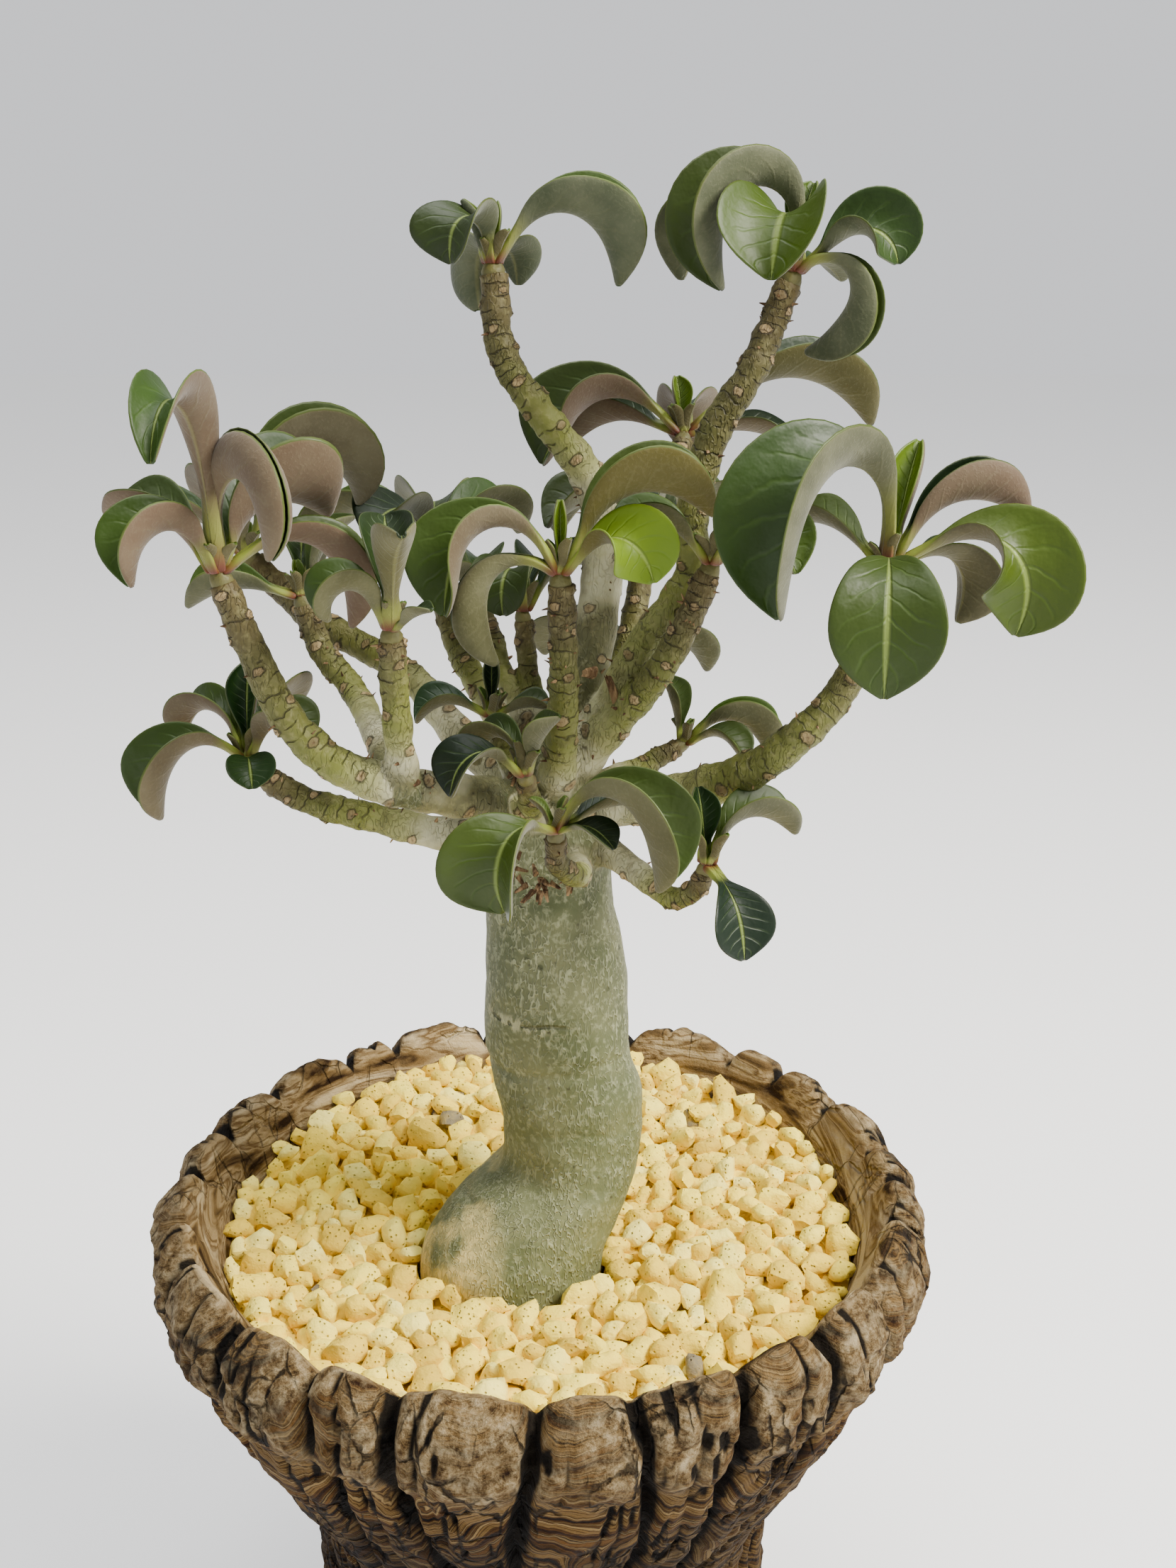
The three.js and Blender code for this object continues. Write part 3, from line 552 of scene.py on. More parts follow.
def bark_relief(direction, height, radius):
    """How far the wall is pushed out at a place, with the depth of its cracks from 0 to 1."""
    index, share, turn = find_plate(direction, height)
    plate = BARK_PLATES[index]
    spot = Vector((math.cos(direction) * radius, math.sin(direction) * radius, height))
    lip = smooth_step(height, LIP_BOTTOM - 6 * MM, LIP_BOTTOM + 3 * MM)
    from_edge = min(share, 1 - share) * turn * radius
    wide = max(0.55, 1.45 + 1.7 * noise.noise(spot * 60)) * MM
    crack = math.exp(-((from_edge / wide) ** 2))
    split = 0.42 + 0.2 * math.sin(index * 5.1)
    from_split = abs(share - split - 0.05 * noise.noise(spot * 90)) * turn * radius
    splits = 0.75 if index % 3 else 0.0
    second = math.exp(-((from_split / (0.75 * MM)) ** 2)) * splits * (0.35 + 0.65 * lip)
    shoulder = 1 - smooth_step(min(from_edge, from_split + 2 * MM * (1 - splits)), 0, 3.4 * MM)
    crown = math.sin(math.pi * share) * (plate["bulge"] + 0.35 * MM)
    crown += 1.0 * MM * lip * math.sin(math.pi * share) ** 0.7
    vein = abs(noise.noise(Vector((direction * 24, height * 30, index * 3.1))))
    short_crack = (1 - smooth_step(vein, 0.02, 0.10)) * smooth_step(
        noise.noise(Vector((direction * 9, height * 40, 5.0))), -0.12, 0.2
    )
    crumbled = smooth_step(noise.noise(spot * 200 + Vector((9, 2, 4))), 0.02, 0.35)
    pit = crumbled * smooth_step(shoulder + 0.7 * noise.noise(spot * 45), 0.25, 0.75)
    level = height + 0.004 * noise.noise(spot * 38) + 0.003 * knot_pull(direction, height, radius)
    layer = noise.noise(Vector((level * 420, 3.0, index * 0.6)))
    ragged = noise.fractal(spot * 150, 0.8, 2.1, 4)
    out = crown - GROOVE_DEPTH * (1.05 * crack + 0.55 * second + 0.2 * shoulder)
    out += -1.4 * MM * short_crack - 1.3 * MM * pit + 0.5 * MM * layer
    out += (0.65 + 0.75 * lip) * MM * ragged
    return out, max(crack, 0.8 * second, 0.85 * short_crack, 0.75 * pit)


def inner_relief(spot):
    """The inside of the wall is smooth, with long shallow strokes."""
    return 0.8 * MM * noise.noise(spot * 30) + 0.25 * MM * noise.noise(spot * 110)


print(len(KNOTS), "knots bend the layers")

# %% [markdown]
# Now the grid is rolled up, with each corner of the outer wall pushed by the relief. Over the
# rim the plates also rise and sink, so that its top is a row of lumps.

# %% Make the pot
def pot_corner(column, row):
    height, radius, share, inside = POT_ROWS[row]
    direction = column / POT_COLUMNS * 2 * math.pi
    heading = Vector((math.cos(direction), math.sin(direction), 0))
    if radius == 0:
        return Vector((0, 0, height))
    if inside:
        radius += inner_relief(heading * radius + Vector((0, 0, height)))
        return heading * radius + Vector((0, 0, height))
    if share == 0:
        return heading * radius + Vector((0, 0, height))
    out = bark_relief(direction, height, max(radius, NARROWEST))[0]
    on_top = smooth_step(height, 140 * MM, 145 * MM)
    radius += out * share * (1 - 0.6 * on_top)
    along_plate = find_plate(direction, height)[1]
    lump = 2.6 * MM * (math.sin(math.pi * along_plate) ** 0.6 - 0.72)
    lump += 1.3 * MM * noise.noise(Vector((direction * 11, 3.0, 0)))
    height += on_top * (lump + 0.4 * out)
    return heading * radius + Vector((0, 0, height))


pot = rolled_sheet("pot_of_layered_clay", POT_COLUMNS, len(POT_ROWS) - 1, pot_corner)
print("pot:", len(pot.data.vertices), "corners")

# %% [markdown]
# Three holes let water out. They are cut from the finished pot with cylinders, as a potter
# drills them, well away from the middle.

# %% Drain holes
HOLES = 3
HOLE_TURN = 0.5
HOLE_DISTANCE = 24 * MM
HOLE_RADIUS = 4 * MM
CUT_DEPTH = 16 * MM


def cut_away(piece, tool):
    """Cuts a tool's shape from a piece, and removes the tool."""
    only(piece)
    cut = piece.modifiers.new("cut", "BOOLEAN")
    cut.operation = "DIFFERENCE"
    cut.solver = "MANIFOLD"
    cut.object = tool
    bpy.ops.object.modifier_apply(modifier="cut")
    bpy.data.objects.remove(tool)


for hole in range(HOLES):
    direction = hole / HOLES * 2 * math.pi + HOLE_TURN
    place = (HOLE_DISTANCE * math.cos(direction), HOLE_DISTANCE * math.sin(direction), 5 * MM)
    deselect()
    bpy.ops.mesh.primitive_cylinder_add(
        vertices=40, radius=HOLE_RADIUS, depth=CUT_DEPTH, location=place
    )
    cut_away(pot, bpy.context.object)
print("pot with drain holes:", len(pot.data.vertices), "corners")

# %% [markdown]
# The finish reads three marks from the mesh: how deep a crack is at each corner, how much a
# knot bends the layers, and whether the corner is inside. The layers are then bands over the
# height, bent by the knots and by noise.

# %% Marks on the pot
def wall_marks(spot):
    direction = math.atan2(spot.y, spot.x)
    radius = math.hypot(spot.x, spot.y)
    inside = radius < through(INNER_WALL, spot.z)[0] + 2.2 * MM and spot.z > FLOOR_TOP - MM
    if inside or spot.z < 0.2 * MM:
        return 0.0, 0.0, 1.0 if inside else 0.0
    out, crack = bark_relief(direction % (2 * math.pi), spot.z, max(radius, NARROWEST))
    index, share = find_plate(direction % (2 * math.pi), spot.z)[:2]
    sag = math.sin(math.pi * share) * (0.32 + 0.2 * math.sin(index * 2.3))
    return crack, knot_pull(direction, spot.z, radius) + sag + out / MM * 0.04, 0.0


POT_MARKS = {tuple(corner.co): wall_marks(corner.co) for corner in pot.data.vertices}
write_mark(pot, "crack", lambda spot: POT_MARKS[tuple(spot)][0])
write_mark(pot, "drape", lambda spot: POT_MARKS[tuple(spot)][1])
write_mark(pot, "inside", lambda spot: POT_MARKS[tuple(spot)][2])
print(len(POT_MARKS), "corners marked")

# %% [markdown]
# Brown, cream and nearly black layers follow each other in thin bands. They are stained in patches
# all over, and from under the lip down to the narrow foot a painted shade darkens them, where the
# wall faces down, away from the light.

# %% Layers of the clay
def clay_bands(finish, height):
    """Thin bands over the height, bent by noise and by the knots."""
    warp = (finish.noise(22.0, 2.0) - 0.5) * 0.030 + (finish.noise(110.0, 2.0) - 0.5) * 0.0022
    level = height + warp + finish.mark("drape") * 0.010
    sockets = {"W": level, "Scale": 380.0, "Detail": 2.0, "Roughness": 0.55}
    return finish.node("ShaderNodeTexNoise", {"noise_dimensions": "1D"}, sockets)


def clay_layers(finish, height, bands):
    """Brown and cream layers, stained in patches, with painted shade below the lip that darkens
    them towards the foot.
    """
    stops = [
        (0.30, paint(12, 7, 2)), (0.37, paint(40, 23, 8)), (0.43, paint(84, 58, 27)),
        (0.46, paint(19, 11, 4)), (0.50, paint(116, 90, 52)), (0.55, paint(38, 22, 7)),
        (0.59, paint(134, 110, 72)), (0.64, paint(28, 21, 13)), (0.70, paint(92, 64, 30)),
    ]
    layers = finish.colours(bands, stops)
    stain = finish.step(finish.noise(20.0, 4.0), 0.44, 0.62)
    # Painted shade: the wall below the lip is darkened towards the foot, and mixed with the real
    # stains into one dark brown.
    low = 1 - finish.step(height, 0.085, 0.13)
    stained = finish.blend(stain * 0.3 + low * 0.5, layers, paint(20, 11, 3))
    grains = finish.noise(14.0, 3.0, finish.stretched((1, 1, 0.25)))
    return finish.blend(finish.step(grains, 0.5, 0.68) * 0.22, stained, paint(62, 54, 42))


print("layers ready")

# %% [markdown]
# The lip is weathered to a crumbly grey-brown. Hairline cracks run over the whole outside, and
# the deep cracks are nearly black. Inside, the layers are smeared into long level streaks, as a
# hand leaves them that smooths the clay.

# %% Clay finish
def weather_lip(finish, height, crumb, layers):
    lip = finish.step(height + (finish.noise(60.0, 3.0) - 0.5) * 0.014, 0.118, 0.136)
    stops = [
        (0.34, paint(34, 24, 15)), (0.44, paint(90, 74, 50)), (0.54, paint(136, 119, 89)),
        (0.66, paint(174, 158, 125)),
    ]
    worn = lip * (finish.step(finish.noise(70.0, 3.0), 0.38, 0.58) * 0.5 + 0.2)
    return finish.blend(worn, layers, finish.colours(crumb, stops))


def hairline_cracks(finish):
    place = finish.shifted(finish.stretched((1, 1, 0.5)), (0.3, 0, 0))
    fissures = finish.cells(150.0, place, "DISTANCE_TO_EDGE")
    ragged = fissures + (finish.noise(300.0, 3.0) - 0.5) * 0.24
    return (1 - finish.step(ragged, 0.0, 0.06)) * finish.step(finish.noise(38.0, 2.0), 0.46, 0.58)


def streaked_wall(finish):
    streaks = finish.noise(26.0, 4.0, finish.stretched((1.0, 1.0, 5.0)), 0.55, 1.4)
    stops = [
        (0.34, paint(42, 29, 16)), (0.43, paint(106, 85, 54)), (0.50, paint(150, 129, 93)),
        (0.53, paint(92, 71, 43)), (0.62, paint(174, 155, 119)),
    ]
    return finish.colours(streaks, stops)


def clay_finish():
    finish = Finish("layered_clay", mirrored=0.12, roughness=0.85)
    height = finish.axis("Z")
    bands = clay_bands(finish, height)
    crumb = finish.noise(330.0, 5.0, None, 0.75)
    outer = weather_lip(finish, height, crumb, clay_layers(finish, height, bands))
    hairline = hairline_cracks(finish)
    cracked = finish.blend(hairline * 0.85, outer, paint(18, 11, 6))
    deep = finish.step(finish.mark("crack") + (crumb - 0.5) * 0.5, 0.16, 0.52)
    dark = finish.blend(deep * 0.96, cracked, paint(8, 4, 2))
    colour = finish.blend(finish.mark("inside"), dark, streaked_wall(finish))
    relief = bands * 0.6 + crumb * 0.7 - hairline * 1.2
    return finish.wear(colour, relief, 0.0017)


put_finish(pot, clay_finish())
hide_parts("pot")
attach(pot, "root")
print("pot finished")

# %% [markdown]
# ## The soil
#
# Only the drain holes show the soil. Its solid is kept, with a dark gritty finish.

# %% Soil finish
def soil_finish():
    finish = Finish("potting_soil", mirrored=0.1, roughness=1.0)
    grit = finish.noise(500.0, 4.0)
    colour = finish.blend(finish.step(grit, 0.4, 0.7), paint(38, 28, 20), paint(92, 74, 54))
    return finish.wear(colour, grit, 0.001)


put_finish(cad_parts["soil"], soil_finish())
print("soil finished")

# %% [markdown]
# ## The trunk and its branches
#
# A desert rose's trunk, crown and branches are one grown body with no joints, only swellings.
# Tubes that cross each other would show hard creases at every fork. So the trunk is rolled, the
# branches are curves with a round bevel, and all of them go through a voxel remesh, which makes
# one skin of them. A little smoothing then fills each fork as growth does.

# %% The trunk
# Height, middle in X and Y, and half the width and depth of each ring, in millimetres.
TRUNK_RINGS = [
    (95, -3, -7, 3, 3), (97, -3, -7, 6, 6), (101, -4, -8, 13, 12), (112, -6, -10, 19, 17),
    (126, -6.5, -10.5, 20.5, 17.5), (136, -6, -10, 20, 17.5), (142, -3, -8, 19.8, 17),
    (148, 1.5, -5.5, 18.4, 16.2), (154, 6.6, -2.5, 15.6, 15.2), (162, 7.2, -1, 15.4, 15.2),
    (171, 6.2, 0, 16.1, 15.8), (178, 4.6, 0, 15.5, 15.2), (187, 4, 0, 15.9, 15.5),
    (199, 3.6, 0, 15.2, 15), (210, 3, 0, 14.2, 14), (221, 2, 0, 13.4, 13),
    (230, 2, -1, 13.6, 12.6), (238, 3, -1, 11.5, 11), (246, 4, 0, 7.5, 7.5),
    (251, 4.5, 1, 3.5, 3.5),
]
TRUNK_COLUMNS = 96
TRUNK_ROWS = 150
# Height and depth in millimetres, direction of the middle and reach to either side in radians.
TRUNK_CREASES = [
    (179, 0.7, -2.3, 1.4), (181.5, 0.45, -0.7, 1.2), (148.5, 1.1, 3.1, 0.9),
    (212, 0.35, -1.3, 2.0), (194, 0.3, -2.0, 0.8), (165, 0.35, -1.0, 1.3), (224, 0.5, -1.6, 3.0),
]


def trunk_corner(column, row):
    direction = column / TRUNK_COLUMNS * 2 * math.pi
    height = TRUNK_RINGS[0][0] + (TRUNK_RINGS[-1][0] - TRUNK_RINGS[0][0]) * row / TRUNK_ROWS
    x, y, half_x, half_y = through(TRUNK_RINGS, height)
    if row in (0, TRUNK_ROWS):
        return Vector((x, y, height)) * MM
    swelling = 1 + 0.015 * math.sin(3 * direction + height * 0.2)
    spot = Vector((math.cos(direction), math.sin(direction), height / 14))
    bump = 0.55 * noise.noise(spot * 1.5) + 0.22 * noise.noise(spot * 5)
    for crease_height, depth, middle, reach in TRUNK_CREASES:
        aside = abs((direction - middle + math.pi) % (2 * math.pi) - math.pi)
        wave = crease_height + 0.8 * math.sin(3 * direction)
        fading = 1 - smooth_step(aside, 0.6 * reach, reach)
        bump -= depth * fading * math.exp(-(((height - wave) / 0.8) ** 2))
    across = (half_x * swelling + bump) * math.cos(direction)
    away = (half_y * swelling + bump) * math.sin(direction)
    return Vector((x + across, y + away, height)) * MM


stems = rolled_sheet("stems_of_desert_rose", TRUNK_COLUMNS, TRUNK_ROWS, trunk_corner)
print("trunk:", len(stems.data.vertices), "corners")

# %% [markdown]
# Each branch is a list of points with a radius at each, from the crown to its growing tip. The
# line through them is a centripetal Catmull-Rom curve, the one that passes through its points
# without loops, and the rosettes later start from its end.

# %% Branch points
BRANCHES = {
    "a": [(4, 1, 240, 5.5), (10.5, 6, 263, 4.8), (13.6, 10, 284, 4.3), (13, 8, 297, 3.8),
          (9.2, 5, 306.3, 3.6), (0.8, 4, 317.3, 3.2), (-6, 5, 328, 3), (-7.7, 7, 343, 2.9)],
    "b": [(8, -2, 246, 5), (14, -3, 256, 4.3), (22.3, -4, 272, 3.6), (31, -4, 286, 3.3),
          (31.7, -3, 301, 3.2), (36, -2, 315, 3.3), (42.7, -2, 326, 3.1), (46.6, 0, 335, 2.8),
          (49.4, 0, 342, 2.6)],
    "c": [(31.4, -3, 296, 2.8), (30.5, 8, 302, 2.5), (30, 19, 305, 2.4), (30.5, 22, 308.5, 2.4)],
    "e": [(-4, -8, 238, 5.5), (-13.7, -18, 244, 4.6), (-23.4, -25, 247.7, 4.2),
          (-31, -28.5, 251, 3.9), (-39.6, -30, 256, 3.6), (-47, -30, 265, 3.3),
          (-53, -30, 279, 3), (-57, -30, 290, 2.7)],
    "f": [(-25, -27, 248, 3.4), (-25.3, -31, 262, 2.9), (-25.5, -34, 275, 2.7),
          (-25.5, -35, 280.5, 2.6)],
    "g": [(-3, 2, 238, 4.5), (-16, 7, 248.5, 3.7), (-26, 13, 259, 3.3), (-34, 16, 264, 3.1),
          (-48.5, 20, 271.6, 3), (-60.7, 22, 283, 2.8)],
    "h": [(-27, -25, 249.5, 3.2), (-33, -8, 256, 2.9), (-38.7, 4, 260.5, 2.8),
          (-45, 7, 268, 2.7), (-48, 8, 277, 2.6)],
    "i": [(-4, -3, 230, 4.4), (-20, -4, 231, 3.6), (-35, -5, 235, 3.1), (-46, -5, 238, 2.9),
          (-53.4, -5, 242, 2.7), (-58, -5, 246.5, 2.5)],
    "j": [(2, 8, 246, 2.8), (-1.5, 14, 258, 2.3), (-3, 15, 272, 2.1)],
    "k": [(4, -8, 242, 4.2), (5.5, -15, 257, 3.2), (6, -19, 272, 2.9), (5.5, -20, 287.5, 2.7)],
    "l": [(0, 9, 245, 2.8), (-5.5, 14, 256, 2.3), (-9.5, 20, 266, 2.2), (-11, 21, 271, 2.1)],
    "m": [(-4, -5, 243, 2.6), (-7, -6, 250, 2), (-8.4, -6, 255.5, 1.8)],
    "n": [(-0.5, -8, 236, 3), (-0.8, -18, 243, 2.3), (-1.5, -24, 249.5, 2)],
    "o": [(8, -9, 226, 3.2), (9, -22, 229, 2.6), (7.6, -30, 232, 2.3), (4.6, -35, 236.5, 2.2),
          (4.6, -37.5, 242.5, 2.1)],
    "p": [(12, -4, 229, 3.6), (20.6, -14, 226.4, 2.6), (27.3, -22, 224, 2.3),
          (32, -26, 227, 2.1), (33.5, -28, 232, 2)],
    "q": [(12, 3, 239, 3.2), (22.8, 8, 242, 2.4), (30, 11.5, 245, 2.1)],
    "r": [(8, -3, 238, 5.6), (21, -6, 238.5, 4.9), (32, -13, 243.5, 4.2),
          (43.7, -21, 251, 3.8), (52.5, -25, 259.5, 3.4), (59, -25, 267.3, 3.2),
          (64, -24, 279, 2.9), (66.8, -22, 289.5, 2.7)],
    "s": [(7, -3, 244, 4.6), (17, -8, 257, 3.4), (24.7, -11, 267.5, 3), (30.3, -12, 278, 2.8),
          (34.2, -12, 288, 2.6)],
    "u": [(5, 3, 241, 4.4), (14, 18, 252, 3.3), (20, 30, 265, 2.9), (23, 36, 281, 2.6)],
    "v": [(-1, 5, 240, 4.4), (-10, 22, 250, 3.3), (-19, 36, 262, 2.9), (-23, 41, 278, 2.6)],
    "w": [(4, 5, 234, 3.6), (9, 24, 237, 2.8), (14, 38, 243, 2.5), (17, 43, 251, 2.3)],
}
print(len(BRANCHES), "branches")

# %% [markdown]
# Every later step asks a branch the same things: where it is at a share of its points, which
# way it heads there, how thick it is and how long it is in all.

# %% Along a branch
def branch_point(branch, share):
    """The place on a branch at a share of its points, in metres."""
    points = [Vector(point[:3]) * MM for point in branch]
    points.insert(0, points[0] * 2 - points[1])
    points.append(points[-1] * 2 - points[-2])
    position = share * (len(branch) - 1)
    i = min(int(position), len(branch) - 2)
    u = position - i
    p0, p1, p2, p3 = points[i : i + 4]
    t0, t1, t2 = ((b - a).length ** 0.5 for a, b in ((p0, p1), (p1, p2), (p2, p3)))
    leave = ((p1 - p0) / t0 - (p2 - p0) / (t0 + t1) + (p2 - p1) / t1) * t1
    arrive = ((p2 - p1) / t1 - (p3 - p1) / (t1 + t2) + (p3 - p2) / t2) * t1
    return (
        p1 * (2 * u**3 - 3 * u**2 + 1)
        + leave * (u**3 - 2 * u**2 + u)
        + p2 * (3 * u**2 - 2 * u**3)
        + arrive * (u**3 - u**2)
    )


def branch_heading(branch, share):
    step = 0.0001
    ahead = branch_point(branch, min(1, share + step))
    return (ahead - branch_point(branch, max(0, share - step))).normalized()


def branch_radius(branch, share):
    position = share * (len(branch) - 1)
    i = min(int(position), len(branch) - 2)
    return (branch[i][3] + (branch[i + 1][3] - branch[i][3]) * (position - i)) * MM


def branch_length(branch, steps=40):
    spots = [branch_point(branch, k / steps) for k in range(steps + 1)]
    return sum((b - a).length for a, b in zip(spots, spots[1:]))


print("branches:", {name: round(branch_length(points) / MM) for name, points in BRANCHES.items()})

# %% [markdown]
# A curve with a round bevel is the quickest tube: it keeps its section round in every bend, and
# each of its points carries a radius. Made a mesh, the tubes are joined to the trunk.

# %% Branches as curves with a round bevel
# In millimetres, as the points are.
BRANCH_STEP = 1.2
KNUCKLE_SPACING = 7.5


def draw_branch(name, branch):
    """A branch as a curve whose radius tapers, with a slight knuckle at each old whorl."""
    steps = max(8, round(branch_length(branch) / (BRANCH_STEP * MM)))
    line = bpy.data.curves.new("branch_" + name, "CURVE")
    line.dimensions = "3D"
    line.bevel_depth = 1.0
    line.bevel_resolution = 6
    line.use_fill_caps = True
    spline = line.splines.new("POLY")
    spline.points.add(steps)
    for k, point in enumerate(spline.points):
        share = k / steps
        swing = math.sin(k * BRANCH_STEP * 2 * math.pi / KNUCKLE_SPACING + len(branch))
        point.co = (*branch_point(branch, share), 1)
        point.radius = branch_radius(branch, share) * (1 + 0.05 * swing)
    branch_piece = bpy.data.objects.new("branch_" + name, line)
    bpy.context.collection.objects.link(branch_piece)
    only(branch_piece)
    bpy.ops.object.convert(target="MESH")
    return bpy.context.object


branch_pieces = [draw_branch(name, points) for name, points in BRANCHES.items()]
only(stems)
for piece in branch_pieces:
    piece.select_set(True)
bpy.ops.object.join()
print("trunk and branches:", len(stems.data.vertices), "corners")

# %% [markdown]
# The voxel remesh lays one even skin over everything that overlaps. Its step is as small as the
# leaf scars need, while the piece stays under two hundred thousand triangles. A Smooth modifier
# then takes away the small steps of the grid and rounds each fork.

# %% One skin
STEM_VOXEL = 0.76 * MM
stems.data.remesh_voxel_size = STEM_VOXEL
only(stems)
bpy.ops.object.voxel_remesh()
soften = stems.modifiers.new("soften", "SMOOTH")
soften.factor = 0.5
soften.iterations = 3
bpy.ops.object.modifier_apply(modifier="soften")
bpy.ops.object.shade_smooth()
print("one skin:", len(stems.data.vertices), "corners")

# %% [markdown]
# The bark of a branch changes along it. Near the crown it is old and pale, and further out it is
# young and green. One number, its youth, tells the relief and the finish how far that has gone.

# %% Youth of the bark
# The share of each branch's length that has the pale bark of the crown.
PALE_UNTIL = {
    "a": 0.52, "b": 0.10, "e": 0.36, "f": 0.2, "g": 0.28, "h": 0.22, "i": 0.2, "k": 0.08,
    "r": 0.14, "s": 0.12,
}


def youth_along(name, share):
    """0.08 where a branch leaves the crown, 0.22 where its pale bark ends, and 1 at its tip."""
    pale = PALE_UNTIL.get(name, 0.25)
    if share < pale:
        return 0.08 + 0.14 * share / pale
    return 0.22 + 0.78 * (share - pale) / (1 - pale)


print("branch a is pale up to", PALE_UNTIL["a"], "of its length")

# %% [markdown]
# Where a leaf has dropped, it leaves an oval scar with a raised rim. The scars wind round each
# branch in the spiral in which the leaves once grew, closer together near the tip.

# %% Leaf scars
GOLDEN_TURN = math.radians(137.5)
branch_spots = []
scars = []
scar_draw = random.Random(4)
for name, branch in BRANCHES.items():
    length = branch_length(branch)
    count = max(6, round(length / MM))
    for k in range(count + 1):
        share = k / count
        branch_spots.append(
            (
                branch_point(branch, share),
                branch_radius(branch, share),
                youth_along(name, share),
                share * length,
                branch_heading(branch, share),
            )
        )
    along = 4 * MM
    turn = scar_draw.uniform(0, 6.28)
    while along < length - 0.5 * MM:
        share = along / length
        heading = branch_heading(branch, share)
        aside = heading.orthogonal().normalized()
        outward = Matrix.Rotation(turn, 3, heading) @ aside
        radius = branch_radius(branch, share)
        size = scar_draw.uniform(1.15, 1.75) * (1.35 - 0.4 * share) * MM
        scars.append((branch_point(branch, share) + outward * radius, size, heading))
        along += scar_draw.uniform(2.2, 3.8) * (1.25 - 0.4 * share) * MM
        turn += GOLDEN_TURN + scar_draw.uniform(-0.3, 0.3)
print(len(scars), "leaf scars")

# %% [markdown]
# Each corner of the skin looks up the nearest point of a branch and the nearest scar. From these
# come both the relief and the marks that the finish reads. A tree of places makes the search
# quick enough for a hundred thousand corners.

# %% The nearest branch and the nearest scar
spot_tree = kdtree.KDTree(len(branch_spots))
for k, spot in enumerate(branch_spots):
    spot_tree.insert(spot[0], k)
spot_tree.balance()
scar_tree = kdtree.KDTree(len(scars))
for k, scar in enumerate(scars):
    scar_tree.insert(scar[0], k)
scar_tree.balance()


def branch_marks(spot):
    """Youth from 0 on the trunk to 1 at a tip, and how far along its branch a place lies."""
    k, distance = spot_tree.find(spot)[1:]
    middle, radius, youth, along, heading = branch_spots[k]
    near = 1 - smooth_step(distance - radius, 1.0 * MM, 3.0 * MM)
    return near * youth, along + (spot - middle).dot(heading)


def scar_at(spot):
    """0 away from the scars, 1 in the middle of one, and how far towards the tip it lies."""
    centre, size, heading = scars[scar_tree.find(spot)[1]]
    offset = spot - centre
    along = offset.dot(heading)
    around = (offset - heading * along).length
    depth = max(0.0, 1 - math.hypot(along / (0.66 * size), around / size))
    return depth, max(-1.0, min(1.0, along / (0.66 * size)))


print(len(branch_spots), "places along the branches")

# %% [markdown]
# Each scar gets a raised rim, highest on the side away from the tip, and the young wood is
# knobbly and finely ringed. All moves are worked out before the first corner moves, because
# Blender would otherwise work out every normal again after each of them.

# %% Relief and marks of the skin
def skin_relief(corner):
    youth, along = branch_marks(corner.co)
    depth, upward = scar_at(corner.co)
    rim = smooth_step(depth, 0.0, 0.22) * (1 - 0.8 * smooth_step(depth, 0.25, 0.55))
    knobbly = noise.noise(corner.co * 260) * smooth_step(youth, 0.02, 0.2)
    ring_phase = along / MM * 2.6 + 2 * noise.noise(corner.co * 90)
    rings = math.sin(ring_phase) * smooth_step(youth, 0.1, 0.4)
    return (0.42 * rim * (1.1 - 0.5 * upward) * youth**0.3 + 0.32 * knobbly + 0.07 * rings) * MM


SKIN_MARKS = [(*branch_marks(corner.co), scar_at(corner.co)[0]) for corner in stems.data.vertices]
moves = [corner.normal * skin_relief(corner) for corner in stems.data.vertices]
for index, name in enumerate(("youth", "along", "scar")):
    layer = stems.data.attributes.new(name, "FLOAT", "POINT")
    layer.data.foreach_set("value", [marks[index] for marks in SKIN_MARKS])
for corner, move in zip(stems.data.vertices, moves):
    corner.co = corner.co + move
print("skin marked")

# %% [markdown]
# The skin of the trunk is grey-green and slightly waxy, crossed by countless fine pale wrinkles.
# The places where a noise crosses its middle value form thin winding lines, and a stretch makes
# them upright, which gives wrinkles without drawing one. Part way up, an old torn ring of bark
# has left a pale crust, and small dark knobs sit above it.

# %% Skin of the trunk
RING_HEIGHT = 194.0


def trunk_skin(finish, height, mottle, grain):
    """The trunk's colour above and below, with the pattern of its wrinkles."""
    tone = finish.step(mottle, 0.3, 0.7)
    top_skin = finish.blend(tone, paint(74, 80, 50), paint(102, 104, 72))
    low_skin = finish.blend(tone, paint(88, 94, 61), paint(122, 125, 88))
    skin = finish.blend(finish.step(height, 0.150, 0.205), low_skin, top_skin)
    worm = finish.noise(740.0, 1.0, finish.stretched((1.2, 1.2, 0.5)))
    net = 1 - finish.step(finish.maths("ABSOLUTE", worm - 0.5), 0.01, 0.07)
    wrinkled = net * finish.step(finish.noise(90.0, 3.0), 0.32, 0.6)
    wrinkles = finish.blend(wrinkled * 0.36, skin, paint(184, 187, 148))
    flecked = finish.blend(finish.step(grain, 0.5, 0.66) * 0.3, wrinkles, paint(172, 174, 136))
    return flecked, wrinkled


